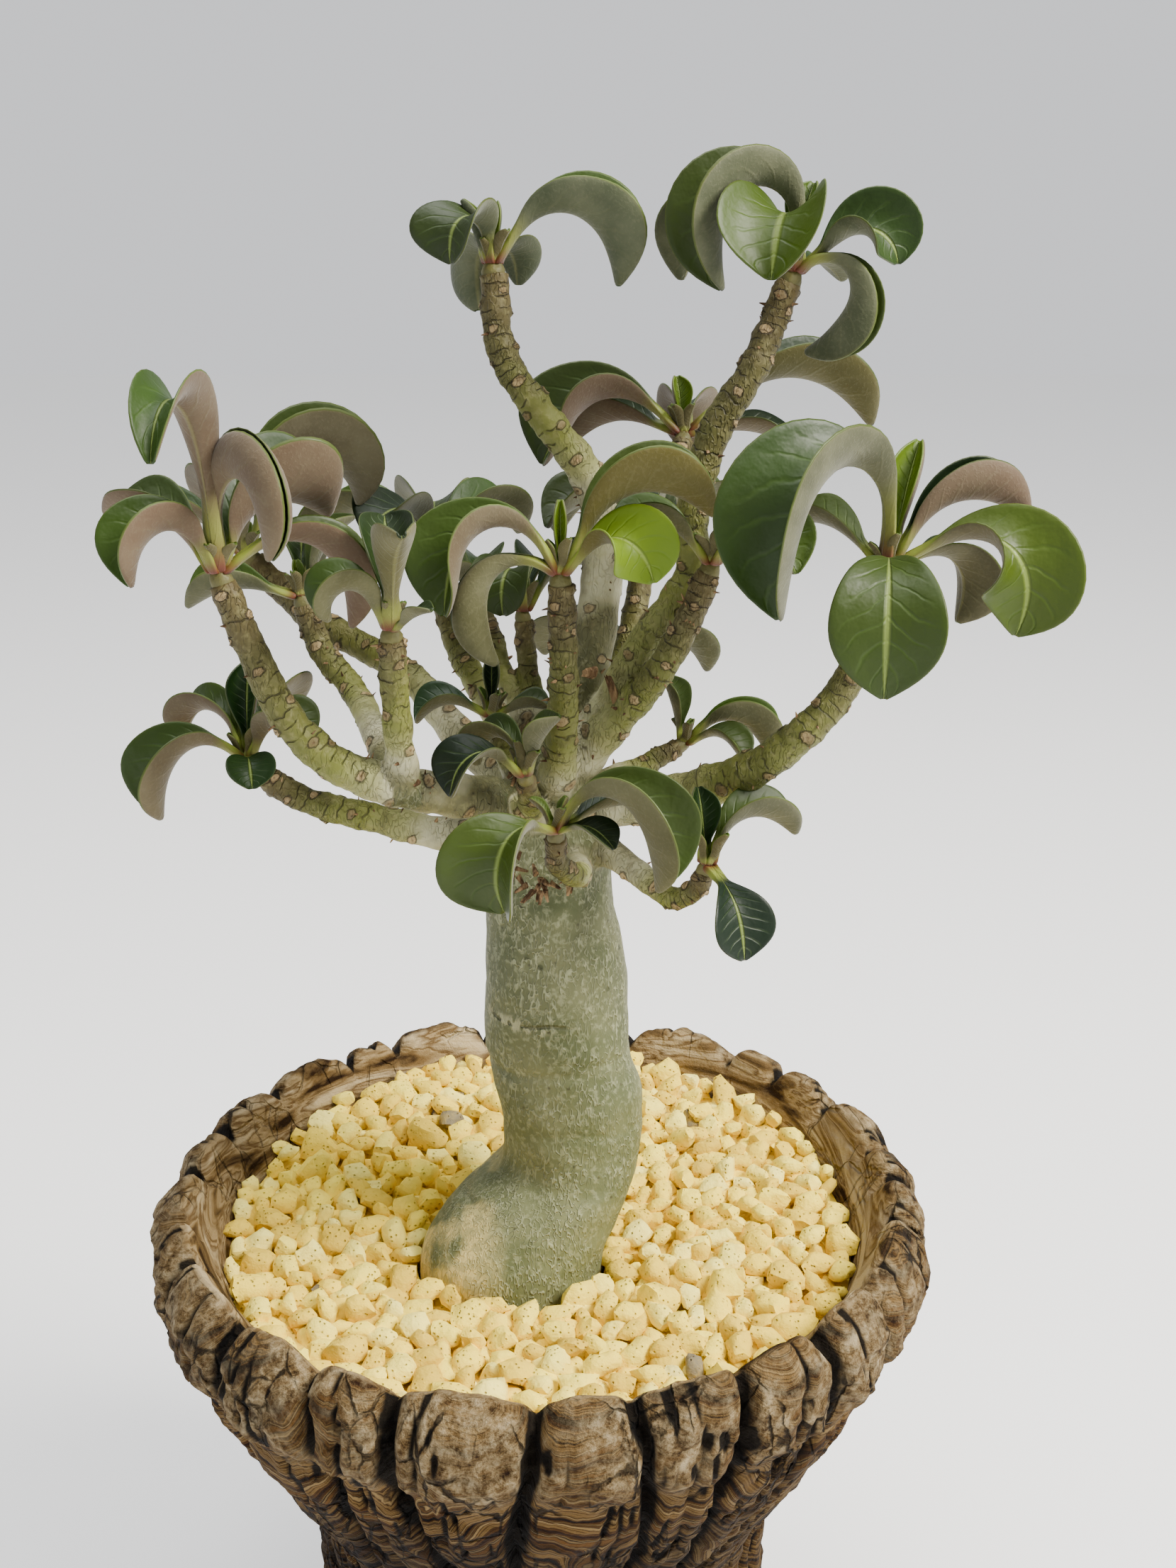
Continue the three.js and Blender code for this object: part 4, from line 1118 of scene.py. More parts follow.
def torn_ring(finish, height, torn, skin):
    """Lays the torn ring and the knobs on the skin. The second pattern is the crack in it."""
    wave = height * 1000.0 + finish.noise(70.0, 2.0) * 7.0 - RING_HEIGHT
    away = finish.maths("ABSOLUTE", wave)
    beside = finish.axis("X")
    front = finish.step(beside, -0.014, -0.009) * (1 - finish.step(beside, 0.003, 0.009))
    front = front * finish.step(finish.axis("Y") * -1.0, -0.002, 0.009)
    crust = (1 - finish.step(away, 0.8, 2.4)) * front * torn
    crusted = finish.blend(crust * 0.5, skin, paint(190, 186, 144))
    crack = (1 - finish.step(away, 0.1, 0.7)) * front * (1 - torn)
    cracked = finish.blend(crack * 0.55, crusted, paint(66, 64, 42))
    knobs = 1 - finish.step(finish.cells(150.0), 0.07, 0.13)
    high = finish.step(height, 0.188, 0.202) * finish.step(finish.noise(45.0, 2.0), 0.46, 0.54)
    return finish.blend(knobs * high * 0.8, cracked, paint(50, 54, 28)), crack


print("skin of the trunk ready")

# %% [markdown]
# The colour of a branch follows its age, which the mesh carries as youth: pale grey at the
# crown, then yellow-green, then olive brown. Dark stains and broken rings lie over it.

# %% Bark of the branches
def branch_bark(finish, youth, grain):
    """The branches' colour, with the pattern of their rings."""
    age = youth + (finish.noise(60.0, 3.0) - 0.5) * 0.42
    stops = [
        (0.0, paint(72, 72, 46)), (0.10, paint(98, 96, 66)), (0.20, paint(174, 171, 138)),
        (0.29, paint(142, 142, 94)), (0.44, paint(106, 110, 51)), (0.64, paint(88, 89, 43)),
        (0.84, paint(78, 71, 42)), (1.0, paint(88, 77, 46)),
    ]
    branch = finish.colours(age, stops)
    grained = finish.blend(finish.step(grain, 0.46, 0.72) * 0.32, branch, paint(146, 140, 94))
    stain = finish.step(finish.noise(170.0, 4.0), 0.52, 0.68)
    stained = finish.blend(stain * 0.36, grained, paint(56, 47, 24))
    along = finish.mark("along") * 370.0 + finish.noise(210.0, 2.0) * 1.4
    ring_line = finish.maths("ABSOLUTE", finish.maths("FRACT", along) - 0.5) * 2.0
    broken = finish.step(finish.noise(260.0, 2.0), 0.46, 0.56)
    rings = (1 - finish.step(ring_line, 0.0, 0.2)) * broken * finish.step(youth, 0.2, 0.45)
    return finish.blend(rings * 0.55, stained, paint(42, 34, 22)), rings


def leaf_scars(finish, youth, on_branch, bark):
    """Lays the scars on the bark: a dark rim, beige inside, a brown core. With their rims."""
    scar = finish.mark("scar") + (finish.noise(500.0, 3.0) - 0.5) * 0.12
    rim = finish.step(scar, 0.04, 0.14) * (1 - finish.step(scar, 0.16, 0.3))
    rimmed = finish.blend(rim * on_branch * 0.7, bark, paint(50, 38, 24))
    tone = finish.step(finish.noise(140.0, 2.0), 0.4, 0.6)
    beige = finish.blend(tone, paint(104, 88, 58), paint(166, 142, 102))
    inside = finish.step(scar, 0.16, 0.32) * finish.step(youth, 0.04, 0.16)
    scarred = finish.blend(inside * 0.8, rimmed, beige)
    return finish.blend(finish.step(scar, 0.6, 0.78) * 0.7, scarred, paint(80, 58, 38)), rim


print("bark of the branches ready")

# %% [markdown]
# One finish covers the whole plant, so that trunk and branches run into each other without a line.
# Low on the left, the swollen foot carries a pale patch of painted light, where that side is lit,
# broken by the torn crust.

# %% Bark finish
def bark_finish():
    finish = Finish("desert_rose_bark", mirrored=0.3, roughness=0.6)
    youth = finish.mark("youth")
    height = finish.axis("Z")
    mottle = finish.noise(60.0, 4.0)
    grain = finish.noise(700.0, 4.0)
    torn = finish.step(finish.noise(560.0, 3.0, finish.stretched((1, 1, 0.6))), 0.46, 0.54)

    skin, wrinkled = trunk_skin(finish, height, mottle, grain)
    trunk, crack = torn_ring(finish, height, torn, skin)
    branch, rings = branch_bark(finish, youth, grain)
    on_branch = finish.step(youth, 0.03, 0.16)
    barked = finish.blend(on_branch, trunk, branch)

    # Painted light: a pale patch low on the trunk's left side, as if light fell on the foot from
    # the left.
    lit_patch = finish.step(finish.noise(48.0, 4.0) - height * 6.0, -0.40, -0.30)
    lit_left_side = finish.step(finish.axis("X") * -1.0, 0.005, 0.016)
    foot = finish.blend(lit_patch * lit_left_side * (torn * 0.35 + 0.6), barked, paint(210, 192, 126))
    scarred, rim = leaf_scars(finish, youth, on_branch, foot)
    specks = 1 - finish.step(finish.cells(230.0), 0.0, 0.13)
    colour = finish.blend(specks * 0.75, scarred, paint(44, 36, 26))
    relief = wrinkled * 0.6 + grain * 0.4 + mottle * 0.3 - rings - rim * 0.6 - crack
    return finish.wear(colour, relief, 0.0005)


def dry_finish():
    finish = Finish("dry_stub", mirrored=0.2, roughness=0.9)
    fibre = finish.noise(500.0, 4.0, finish.stretched((1, 1, 0.3)))
    colour = finish.blend(finish.step(fibre, 0.4, 0.65), paint(72, 54, 38), paint(150, 122, 88))
    return finish.wear(colour, fibre, 0.0006)


put_finish(stems, bark_finish(), dry_finish())
print("bark finished")

# %% [markdown]
# Old growth leaves litter on the plant: dark spurs beside the scars, where the bases of dropped
# leaves have dried, brown clusters of dead buds under the crown, and the stubs of twigs that
# broke off. Each is a narrow cone of few faces, bent and roughened a little. A spur sits with its
# foot inside the bark.

# %% A dry bit
def spur(place, heading, length, radius, sides=6, end=0.25):
    """A bent cone with its foot at a place. Its end is a share of the foot's width."""
    deselect()
    bpy.ops.mesh.primitive_cone_add(vertices=sides, radius1=1, radius2=end, depth=1)
    cone = bpy.context.object
    turn = heading.to_track_quat("Z", "Y").to_matrix()
    bend = heading.orthogonal().normalized() * (0.25 * length)
    for corner in cone.data.vertices:
        rise = corner.co.z + 0.5
        rough = 1 + 0.5 * noise.noise(corner.co * 3 + place * 2000)
        broken = 1 + rise * (end - 0.25) * noise.noise(corner.co * 2 + place * 900)
        local = Vector((corner.co.x * radius * rough, corner.co.y * radius * rough, 0))
        local.z = rise * length * broken
        corner.co = place + turn @ local + bend * rise * rise
    return cone


print("dry bits have six to twelve sides")

# %% [markdown]
# Branches that have dropped many leaves are thick with spurs, and the fresh ones have few.

# %% Dry spurs
SPURS_PER_MM = 0.55
# How many dry spurs a branch has, against the most; others have 0.2.
SPURRED = {"k": 1.0, "s": 1.0, "b": 0.5, "f": 0.6, "e": 0.3, "a": 0.25, "r": 0.3, "n": 0.8}
spur_draw = random.Random(12)
extras = []
for name, branch in BRANCHES.items():
    length = branch_length(branch) / MM
    for _ in range(round(length * SPURS_PER_MM * SPURRED.get(name, 0.2))):
        share = spur_draw.uniform(0.12, 0.97)
        heading = branch_heading(branch, share)
        outward = Matrix.Rotation(spur_draw.uniform(0, 6.28), 3, heading) @ heading.orthogonal()
        outward.normalize()
        foot = branch_point(branch, share) + outward * (branch_radius(branch, share) - 0.35 * MM)
        lean = (outward + heading * spur_draw.uniform(-0.1, 0.7)).normalized()
        size = spur_draw.uniform(0.9, 1.7) * MM
        extras.append(spur(foot, lean, size, spur_draw.uniform(0.22, 0.42) * MM))
print(len(extras), "dry spurs")

# %% [markdown]
# The dead buds make four loose clusters at the front of the crown. The hair-thin dry stalks that
# carry them aren't drawn, so many of the buds lie a few millimetres off the bark. Three twigs
# have broken off. All of these bits then join the bark and take the dry finish.

# %% Dead buds and stubs
# Middle, spread, number and length of each cluster of dead buds, in millimetres.
DEAD_BUDS = [
    ((1.5, -33.5, 231.0), 3.0, 15, 2.6), ((-4.5, -32.0, 233.5), 2.2, 10, 2.2),
    ((-2.6, -21.0, 250.5), 1.8, 6, 2.4), ((7.0, -15.5, 224.5), 1.6, 4, 2.0),
]
for middle, spread, count, length in DEAD_BUDS:
    for _ in range(count):
        shift = Vector([spur_draw.gauss(0, 0.4) for _ in range(3)]) * spread * MM
        away = (shift + Vector((0, -1.2, -0.6)) * MM).normalized()
        size = spur_draw.uniform(0.7, 1.2) * length * MM
        extras.append(spur(Vector(middle) * MM + shift, away, size, 0.62 * MM, 7, 0.4))

# Place, heading, length and radius of each stub, in millimetres.
STUBS = [
    ((17.5, -8.6, 258.0), (-0.55, -0.25, 1.0), 8.0, 0.95),
    ((12.0, -7.0, 266.5), (-0.8, -0.5, 0.35), 2.8, 1.3),
    ((-23.0, -27.5, 250.0), (0.2, -0.75, 0.6), 2.4, 1.4),
]
for place, heading, length, radius in STUBS:
    lean = Vector(heading).normalized()
    extras.append(spur(Vector(place) * MM, lean, length * MM, radius * MM, 12, 0.62))

for extra in extras:
    put_finish(extra, *stems.data.materials)
    extra.data.polygons.foreach_set("material_index", [1] * len(extra.data.polygons))
only(stems)
for extra in extras:
    extra.select_set(True)
bpy.ops.object.join()
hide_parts("stems")
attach(stems, "root")
print(len(extras), "dry bits;", len(stems.data.vertices), "corners in all")

# %% [markdown]
# ## The gravel
#
# The pumice is poured: hundreds of rounded, slightly angular stones, most of them five to nine
# millimetres across, lying at all angles, and higher at the back of the pot. Dropping them with a
# physics run would be slow and differ from run to run. Here the places are drawn at random and
# a stone is kept where it has room, in two layers, so that the second fills the gaps. A closed
# bed lies under them, so that no gap shows an empty pot.

# %% Bed under the stones
GRAVEL_LEVEL = 133 * MM
RISE_TO_BACK = 8.5 * MM
GRAVEL_RADIUS = 70 * MM
BED_BOTTOM = 126.3 * MM
BED_DEPTH = 3.4 * MM
WALL_LEVEL = 135 * MM
FOOT_MARGIN = 0.7 * MM
WALL_MARGIN = 1.4 * MM
BED_COLUMNS = 96
BED_ROWS = 20


def gravel_level(y):
    return GRAVEL_LEVEL + RISE_TO_BACK * ((y + GRAVEL_RADIUS) / (2 * GRAVEL_RADIUS)) ** 2


def foot_outline(direction, height, margin):
    """The edge of the trunk's foot at a height, with a margin round it."""
    x, y, half_x, half_y = (value * MM for value in through(TRUNK_RINGS, height / MM))
    across = (half_x + margin) * math.cos(direction)
    return Vector((x + across, y + (half_y + margin) * math.sin(direction), height))


def wall_outline(direction, height, margin):
    radius = through(INNER_WALL, height)[0] - margin
    return Vector((radius * math.cos(direction), radius * math.sin(direction), height))


def bed_corner(column, row):
    """A flat ring between foot and wall: along its top outwards, and back along its bottom."""
    direction = column / BED_COLUMNS * 2 * math.pi
    row %= 2 * BED_ROWS + 1
    top = row <= BED_ROWS
    share = row / BED_ROWS if top else (2 * BED_ROWS - row) / BED_ROWS
    inner = foot_outline(direction, GRAVEL_LEVEL if top else BED_BOTTOM, FOOT_MARGIN)
    outer = wall_outline(direction, WALL_LEVEL if top else BED_BOTTOM, WALL_MARGIN)
    spot = inner.lerp(outer, share)
    spot.z = gravel_level(spot.y) - BED_DEPTH if top else BED_BOTTOM
    return spot


bed = rolled_sheet("pumice_bed", BED_COLUMNS, 2 * BED_ROWS + 1, bed_corner)
print("bed:", len(bed.data.vertices), "corners")

# %% [markdown]
# A stone starts as an icosphere of eighty faces. Eight soft cuts give it the broken sides that
# pumice has, and a stretch makes it long or squat. Nine different stones are enough, since each
# copy is turned and sized afresh.

# %% Nine stones
STONE_KINDS = 9
STONE_CUTS = 8
stone_draw = random.Random(21)


def shape_stone(index):
    deselect()
    bpy.ops.mesh.primitive_ico_sphere_add(subdivisions=2, radius=1.0)
    stone = bpy.context.object
    stone.name = "stone_%d" % index
    stretch = Vector((stone_draw.uniform(1.1, 1.7), 1.0, stone_draw.uniform(0.78, 1.02)))
    waist = stone_draw.uniform(0.0, 0.28)
    cuts = []
    for _ in range(STONE_CUTS):
        facing = Vector([stone_draw.gauss(0, 1) for _ in range(3)]).normalized()
        cuts.append((facing, stone_draw.uniform(0.58, 0.86)))
    for corner in stone.data.vertices:
        lumpy = noise.noise(corner.co * 1.5 + Vector((index * 5, 0, 0)))
        lumpy += 0.45 * noise.noise(corner.co * 3.4 + Vector((0, index * 5, 0)))
        spot = corner.co * (1 + 0.36 * lumpy)
        for facing, depth in cuts:
            over = spot.dot(facing) - depth
            if over > 0:
                spot = spot - facing * (over * 0.78)
        narrow = 1 - waist * math.exp(-((corner.co.x / 0.4) ** 2))
        spot = Vector((spot.x, spot.y * narrow, spot.z * narrow))
        corner.co = Vector((spot.x * stretch.x, spot.y * stretch.y, spot.z * stretch.z))
    return stone


stones = [shape_stone(index) for index in range(STONE_KINDS)]
print(len(stones), "stones of", len(stones[0].data.polygons), "faces")

# %% [markdown]
# A place is kept when no other stone is too near, when it lies inside the wall and when it is
# clear of the trunk's foot. Sizes are drawn so that middling stones are common and large ones
# rare.

# %% Places for the stones
POUR_RADIUS = 74 * MM
# Half the width of the smallest and the largest stone in millimetres, and the two numbers of
# the lognormal law that the sizes follow.
SMALLEST = 2.2
LARGEST = 4.7
STONE_SIZES = (1.17, 0.23)


def has_room(spot, size, placed, share):
    for other, other_size in placed:
        if (spot.xy - other.xy).length < share * (size + other_size):
            return False
    return True


def scatter_stones(draw, tries, drop, share):
    """Draws places over the ring and keeps those with room, as (place, size)."""
    placed = []
    for _ in range(tries):
        direction = draw.uniform(0, 2 * math.pi)
        reach = POUR_RADIUS * math.sqrt(draw.random())
        spot = Vector((reach * math.cos(direction), reach * math.sin(direction), 0))
        size = min(LARGEST, max(SMALLEST, draw.lognormvariate(*STONE_SIZES))) * MM
        height = gravel_level(spot.y) + drop + draw.uniform(-0.8, 0.7) * MM
        wall = through(INNER_WALL, height)[0] - 0.8 * size
        x, y, half_x, half_y = (value * MM for value in through(TRUNK_RINGS, height / MM))
        across = (spot.x - x) / (half_x + 0.75 * size)
        away = (spot.y - y) / (half_y + 0.75 * size)
        blocked = reach > wall or math.hypot(across, away) < 1
        if blocked or not has_room(spot, size, placed, share):
            continue
        spot.z = height
        placed.append((spot, size))
    return placed


place_draw = random.Random(8)
lower = scatter_stones(place_draw, 14000, -3.2 * MM, 0.76)
upper = scatter_stones(place_draw, 16000, -0.6 * MM, 0.80)
print(len(lower), "stones below,", len(upper), "on top")

# %% [markdown]
# Each stone is copied with a mesh of its own, turned about all axes, and given a tone from 0 to
# 1 for the finish. Joined with the bed, they are one piece.

# %% Pour the stones
def lay_stone(index, spot, size, draw):
    """A copy of one of the stones, turned, sized and put down, with its own mesh and tone."""
    mesh = stones[index % len(stones)].data.copy()
    turn = Matrix.Rotation(draw.uniform(0, 2 * math.pi), 4, "Z")
    lean = draw.gauss(0, 0.55)
    tip = Matrix.Rotation(lean, 4, Vector((draw.gauss(0, 1), draw.gauss(0, 1), 0.01)))
    mesh.transform(Matrix.Translation(spot) @ tip @ turn @ Matrix.Diagonal((size, size, size, 1)))
    layer = mesh.attributes.new("tone", "FLOAT", "POINT")
    layer.data.foreach_set("value", [draw.random()] * len(mesh.vertices))
    stone = bpy.data.objects.new("stone", mesh)
    bpy.context.collection.objects.link(stone)
    return stone


laid = [lay_stone(k, spot, size, place_draw) for k, (spot, size) in enumerate(lower + upper)]
write_mark(bed, "tone", lambda spot: 0.1)
for stone in stones:
    bpy.data.objects.remove(stone)
only(bed)
for stone in laid:
    stone.select_set(True)
bpy.ops.object.join()
gravel = bed
gravel.name = "gravel_of_pumice"
bpy.ops.object.shade_smooth_by_angle(angle=math.radians(46))
print("gravel:", len(gravel.data.polygons), "faces")

# %% [markdown]
# Pumice is straw-coloured froth: each stone has a tone of its own, dust lies on it in patches,
# and fine dark pores pit it. Very few stones are grey.

# %% Pumice finish
def pumice_finish():
    finish = Finish("pumice", mirrored=0.3, roughness=0.9)
    tone = finish.mark("tone")
    stone = finish.colours(
        tone,
        [
            (0.0, paint(208, 174, 62)), (0.25, paint(250, 216, 76)), (0.7, paint(255, 231, 90)),
            (0.985, paint(255, 238, 128)), (0.99, paint(124, 114, 90)),
        ],
    )
    dust = finish.noise(240.0, 4.0)
    dusty = finish.blend(finish.step(dust, 0.46, 0.7) * 0.4, stone, paint(224, 190, 78))
    pores = finish.step(finish.cells(800.0), 0.0, 0.26)
    pitted = finish.blend((1 - pores) * 0.4, dusty, paint(140, 104, 54))
    return finish.wear(pitted, pores * 0.5 + dust, 0.0013)


put_finish(gravel, pumice_finish())
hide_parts("gravel")
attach(gravel, "root")
print("gravel finished")

# %% [markdown]
# ## The leaves
#
# A leaf is a short fleshy petiole and a spoon-shaped blade, folded along its midrib and arched
# over backwards into a hook. The upper face is dark, glossy and veined; the underside is
# velvety and taupe. A flat card with a picture of a leaf wouldn't catch the light along its
# fold, so each leaf is a small grid, bent to its own midrib, thickened by Solidify and rounded
# by Subdivision Surface.

# %% Rosettes
ROSETTES = {
    "a": [
        (-2, 62, 37, 24, 139, 0.47, 62, 55, 0),
        (224, 92, 23, 20, 185, 0.5, 40, 15, 0),
        (106, 36, 25, 15, 145, 0.47, 60, 55, 0),
        (80, 84, 12, 6, 15, 0.5, 60, 55, 0),
        (72, 35, 19, 12, 110, 0.5, 45, 35, 0),
        (170, 70, 13, 5, 5, 0.5, 60, 60, 0),
    ],
    "b": [
        (200, 106, 45, 24, 208, 0.44, 60, 50, 0),
        (251, 88, 31, 27, 158, 0.42, 52, 35, 0),
        (60, 76, 18, 10, 20, 0.5, 60, 50, 0),
        (356, 48, 25, 18, 137, 0.72, 66, 25, 60),
        (337, 52, 31, 16, 197, 0.31, 70, 62, 0),
        (50, 22, 18, 11, 60, 0.5, 30, 20, 0),
        (141, 65, 38, 20, 132, 0.45, 55, 45, 0),
    ],
    "c": [
        (176, 50, 39, 24, 114, 0.42, 62, 35, -40),
        (150, 18, 28, 18, 55, 0.54, 50, 40, 0),
        (110, 80, 12, 7, 15, 0.5, 60, 50, 0),
        (8, 44, 47, 23, 91, 0.53, 58, 50, 0),
        (350, 15, 24, 15, 40, 0.5, 35, 25, 0),
        (85, 40, 28, 18, 120, 0.5, 45, 35, 0),
    ],
    "e": [
        (165, 58, 26, 17, 66, 0.5, 50, 40, 0),
        (218, 72, 28, 18, 152, 0.51, 60, 50, 0),
        (311, 97, 42, 23, 187, 0.55, 84, 82, 0),
        (30, 72, 29, 32, 102, 0.5, 60, 50, 0),
        (13, 41, 38, 17, 131, 0.47, 55, 45, 0),
        (262, 89, 57, 15, 183, 0.78, 55, 45, 0),
    ],
    "f": [
        (98, 84, 25, 14, 62, 0.5, 50, 40, 0),
        (285, 78, 27, 13, 50, 0.5, 60, 50, 0),
        (198, 75, 20, 15, 175, 0.64, 50, 40, 0),
        (330, 45, 10, 7, 30, 0.5, 30, 30, 0),
    ],
    "g": [
        (13, 77, 40, 33, 159, 0.67, 60, 50, 0),
        (110, 60, 36, 22, 115, 0.5, 45, 35, 0),
        (188, 55, 34, 22, 116, 0.5, 45, 35, 0),
        (255, 82, 18, 9, 15, 0.5, 60, 50, 0),
    ],
    "h": [
        (185, 20, 24, 16, 50, 0.5, 50, 45, 0),
        (95, 62, 26, 16, 100, 0.5, 45, 35, 0),
        (20, 75, 20, 11, 40, 0.5, 50, 40, 0),
    ],
    "i": [
        (210, 50, 30, 22, 135, 0.39, 50, 45, 0),
        (154, 80, 26, 14, 150, 0.5, 50, 40, 0),
        (80, 86, 20, 11, 15, 0.5, 60, 50, 0),
        (338, 66, 20, 15, 110, 0.6, 45, 35, 0),
        (68, 61, 26, 16, 105, 0.59, 50, 40, 0),
        (285, 25, 12, 12, 90, 0.5, 35, 30, 0),
    ],
    "j": [
        (250, 90, 25, 15, 195, 0.55, 45, 20, 0),
        (20, 62, 26, 15, 90, 0.5, 45, 35, 0),
        (75, 60, 24, 14, 95, 0.5, 45, 35, 0),
    ],
    "k": [
        (185, 72, 39, 20, 158, 0.4, 64, 35, -45),
        (182, 46, 32, 16, 156, 0.3, 78, 74, 0),
        (4, 69, 38, 22, 103, 0.53, 62, 55, 0),
        (345, 55, 25, 18, 131, 0.56, 62, 18, 65),
        (90, 88, 14, 4, 5, 0.5, 60, 60, 0),
    ],
    "l": [
        (150, 62, 28, 16, 90, 0.5, 45, 35, 0),
        (95, 60, 22, 13, 80, 0.5, 45, 35, 0),
        (225, 66, 18, 10, 60, 0.5, 45, 40, 0),
    ],
    "m": [
        (189, 35, 17, 13, 83, 0.54, 45, 30, 0),
        (350, 30, 12, 9, 40, 0.5, 50, 40, 0),
        (90, 80, 12, 6, 10, 0.5, 60, 60, 0),
    ],
    "n": [
        (207, 54, 22, 15, 131, 0.52, 40, 20, 0),
        (150, 90, 20, 12, 170, 0.47, 50, 40, 0),
        (350, 78, 14, 12, 30, 0.5, 45, 35, 0),
    ],
    "o": [
        (230, 31, 29, 24, 142, 0.47, 45, 35, 0),
        (340, 78, 37, 23, 164, 0.34, 58, 50, 0),
        (15, 34, 18, 12, 40, 0.5, 40, 30, 0),
        (325, 30, 14, 9, 70, 0.5, 30, 25, 0),
    ],
    "p": [
        (110, 80, 15, 9, 15, 0.5, 55, 45, 0),
        (16, 79, 25, 15, 121, 0.45, 50, 40, 0),
        (299, -17, 22, 15, 65, 0.49, 30, 12, 0),
    ],
    "q": [
        (150, 80, 15, 10, 15, 0.5, 55, 45, 0),
        (2, 59, 24, 15, 121, 0.4, 66, 60, 0),
        (330, 40, 17, 10, 100, 0.5, 40, 30, 0),
    ],
    "r": [
        (262, 26, 44, 22, 122, 0.48, 25, 8, 0),
        (215, 103, 62, 32, 193, 0.39, 50, 48, 0),
        (8, 63, 33, 17, 90, 0.5, 74, 72, 0),
        (346, 36, 42, 23, 145, 0.56, 60, 12, 80),
        (26, 19, 30, 18, 129, 0.56, 35, 30, 0),
        (61, 60, 26, 10, 5, 0.5, 60, 55, 0),
        (148, 42, 25, 16, 64, 0.58, 40, 25, 0),
    ],
    "s": [
        (312, 58, 27, 18, 110, 0.5, 50, 40, 0),
        (186, 58, 24, 15, 80, 0.5, 45, 35, 0),
        (52, 60, 26, 14, 90, 0.5, 50, 40, 0),
    ],
    "u": [
        (90, 52, 38, 24, 120, 0.5, 45, 35, 0),
        (30, 60, 36, 22, 130, 0.5, 45, 35, 0),
        (148, 62, 30, 19, 120, 0.5, 50, 40, 0),
        (200, 70, 30, 19, 110, 0.5, 45, 35, 0),
    ],
    "v": [
        (95, 52, 38, 24, 120, 0.5, 45, 35, 0),
        (165, 55, 38, 23, 125, 0.5, 45, 35, 0),
        (235, 74, 30, 18, 105, 0.5, 40, 30, 0),
        (38, 64, 30, 19, 115, 0.5, 50, 40, 0),
    ],
    "w": [
        (80, 40, 32, 20, 100, 0.5, 45, 35, 0),
        (20, 50, 28, 17, 110, 0.5, 45, 35, 0),
        (140, 56, 28, 17, 110, 0.5, 45, 35, 0),
    ],
}
print("leaves:", sum(len(leaves) for leaves in ROSETTES.values()))

# %% [markdown]
# Each row gives one leaf: its direction and rise from the tip of the branch, its length and
# width, how far it curls and where, how steeply its halves fold at base and tip, and its twist.
# The midrib is walked in small steps, turning as the curl says. At each step the frame of
# tangent, side and normal carries the blade.

# %% The midrib of a leaf
PETIOLE_SHARE = 0.17
PETIOLE_HALF_WIDTH = 1.15 * MM
TIP_HALF_WIDTH = 0.45 * MM
PETIOLE_HEIGHT = 1.9 * MM
PETIOLE_OFFSET = 0.8 * MM
BEND_REACH = 0.38
TWIST_START = 0.35
TWIST_END = 0.85
MIDRIB_STEPS = 64


def half_width(share, width):
    """Half the width of a spoon-shaped blade at a share of the leaf's length."""
    if share >= 1:
        return TIP_HALF_WIDTH
    if share <= PETIOLE_SHARE:
        return PETIOLE_HALF_WIDTH
    u = (share - PETIOLE_SHARE) / (1 - PETIOLE_SHARE)
    blade = 0.5 * width * math.sin(math.pi * u**1.5) ** 0.8
    return max(blade, PETIOLE_HALF_WIDTH * (1 - u) + TIP_HALF_WIDTH * u)


def bent_share(share, bend_place):
    """How much of its curl a leaf has reached: a little all along, most at the bend."""
    hook = smooth_step(share, bend_place - BEND_REACH, bend_place + BEND_REACH)
    return 0.3 * share + 0.7 * hook


def walk_midrib(base, leaf):
    """The frames along a leaf: place, side and upper normal at each small step."""
    direction, rise, length, _, curl, bend_place, _, _, twist = leaf
    heading = math.radians(direction)
    outward = Vector((math.cos(heading), math.sin(heading), 0))
    up = Vector((0, 0, 1))
    place = base + outward * PETIOLE_OFFSET
    frames = []
    for step in range(MIDRIB_STEPS + 1):
        share = step / MIDRIB_STEPS
        angle = math.radians(rise - curl * bent_share(share, bend_place))
        tangent = outward * math.cos(angle) + up * math.sin(angle)
        normal = up * math.cos(angle) - outward * math.sin(angle)
        turned = math.radians(twist) * smooth_step(share, TWIST_START, TWIST_END)
        normal = Matrix.Rotation(turned, 3, tangent) @ normal
        frames.append((place.copy(), normal.cross(tangent), normal))
        place += tangent * (length * MM / MIDRIB_STEPS)
    return frames


print("midribs have", MIDRIB_STEPS, "steps")

# %% [markdown]
# The two halves of a blade rise from the midrib ever more steeply, like an opened shell. On top
# of that, the margins wave and the faces are slightly dented, differently in each leaf. A vertex
# group tells Solidify how thick the leaf is at each corner: full at the petiole, thin at the
# margin.

# %% One leaf
LEAF_ROWS = 16
LEAF_COLUMNS = 8
HALF_COLUMNS = LEAF_COLUMNS // 2
STEEPEST = math.radians(130)
CLOSING_FOLD = math.radians(68)
CLOSED_FOLD = math.radians(82)


def across_half(fold, half, steps):
    """Walks from the midrib to a margin, ever steeper: how far out and how far up it gets."""
    out = 0.0
    up = 0.0
    steepening = 0.30 + 0.05 * smooth_step(fold, CLOSING_FOLD, CLOSED_FOLD)
    for step in range(steps):
        slope = min(STEEPEST, fold * (0.58 + steepening * step))
        out += half / HALF_COLUMNS * math.cos(slope)
        up += half / HALF_COLUMNS * math.sin(slope)
    return max(out, 0.0), up


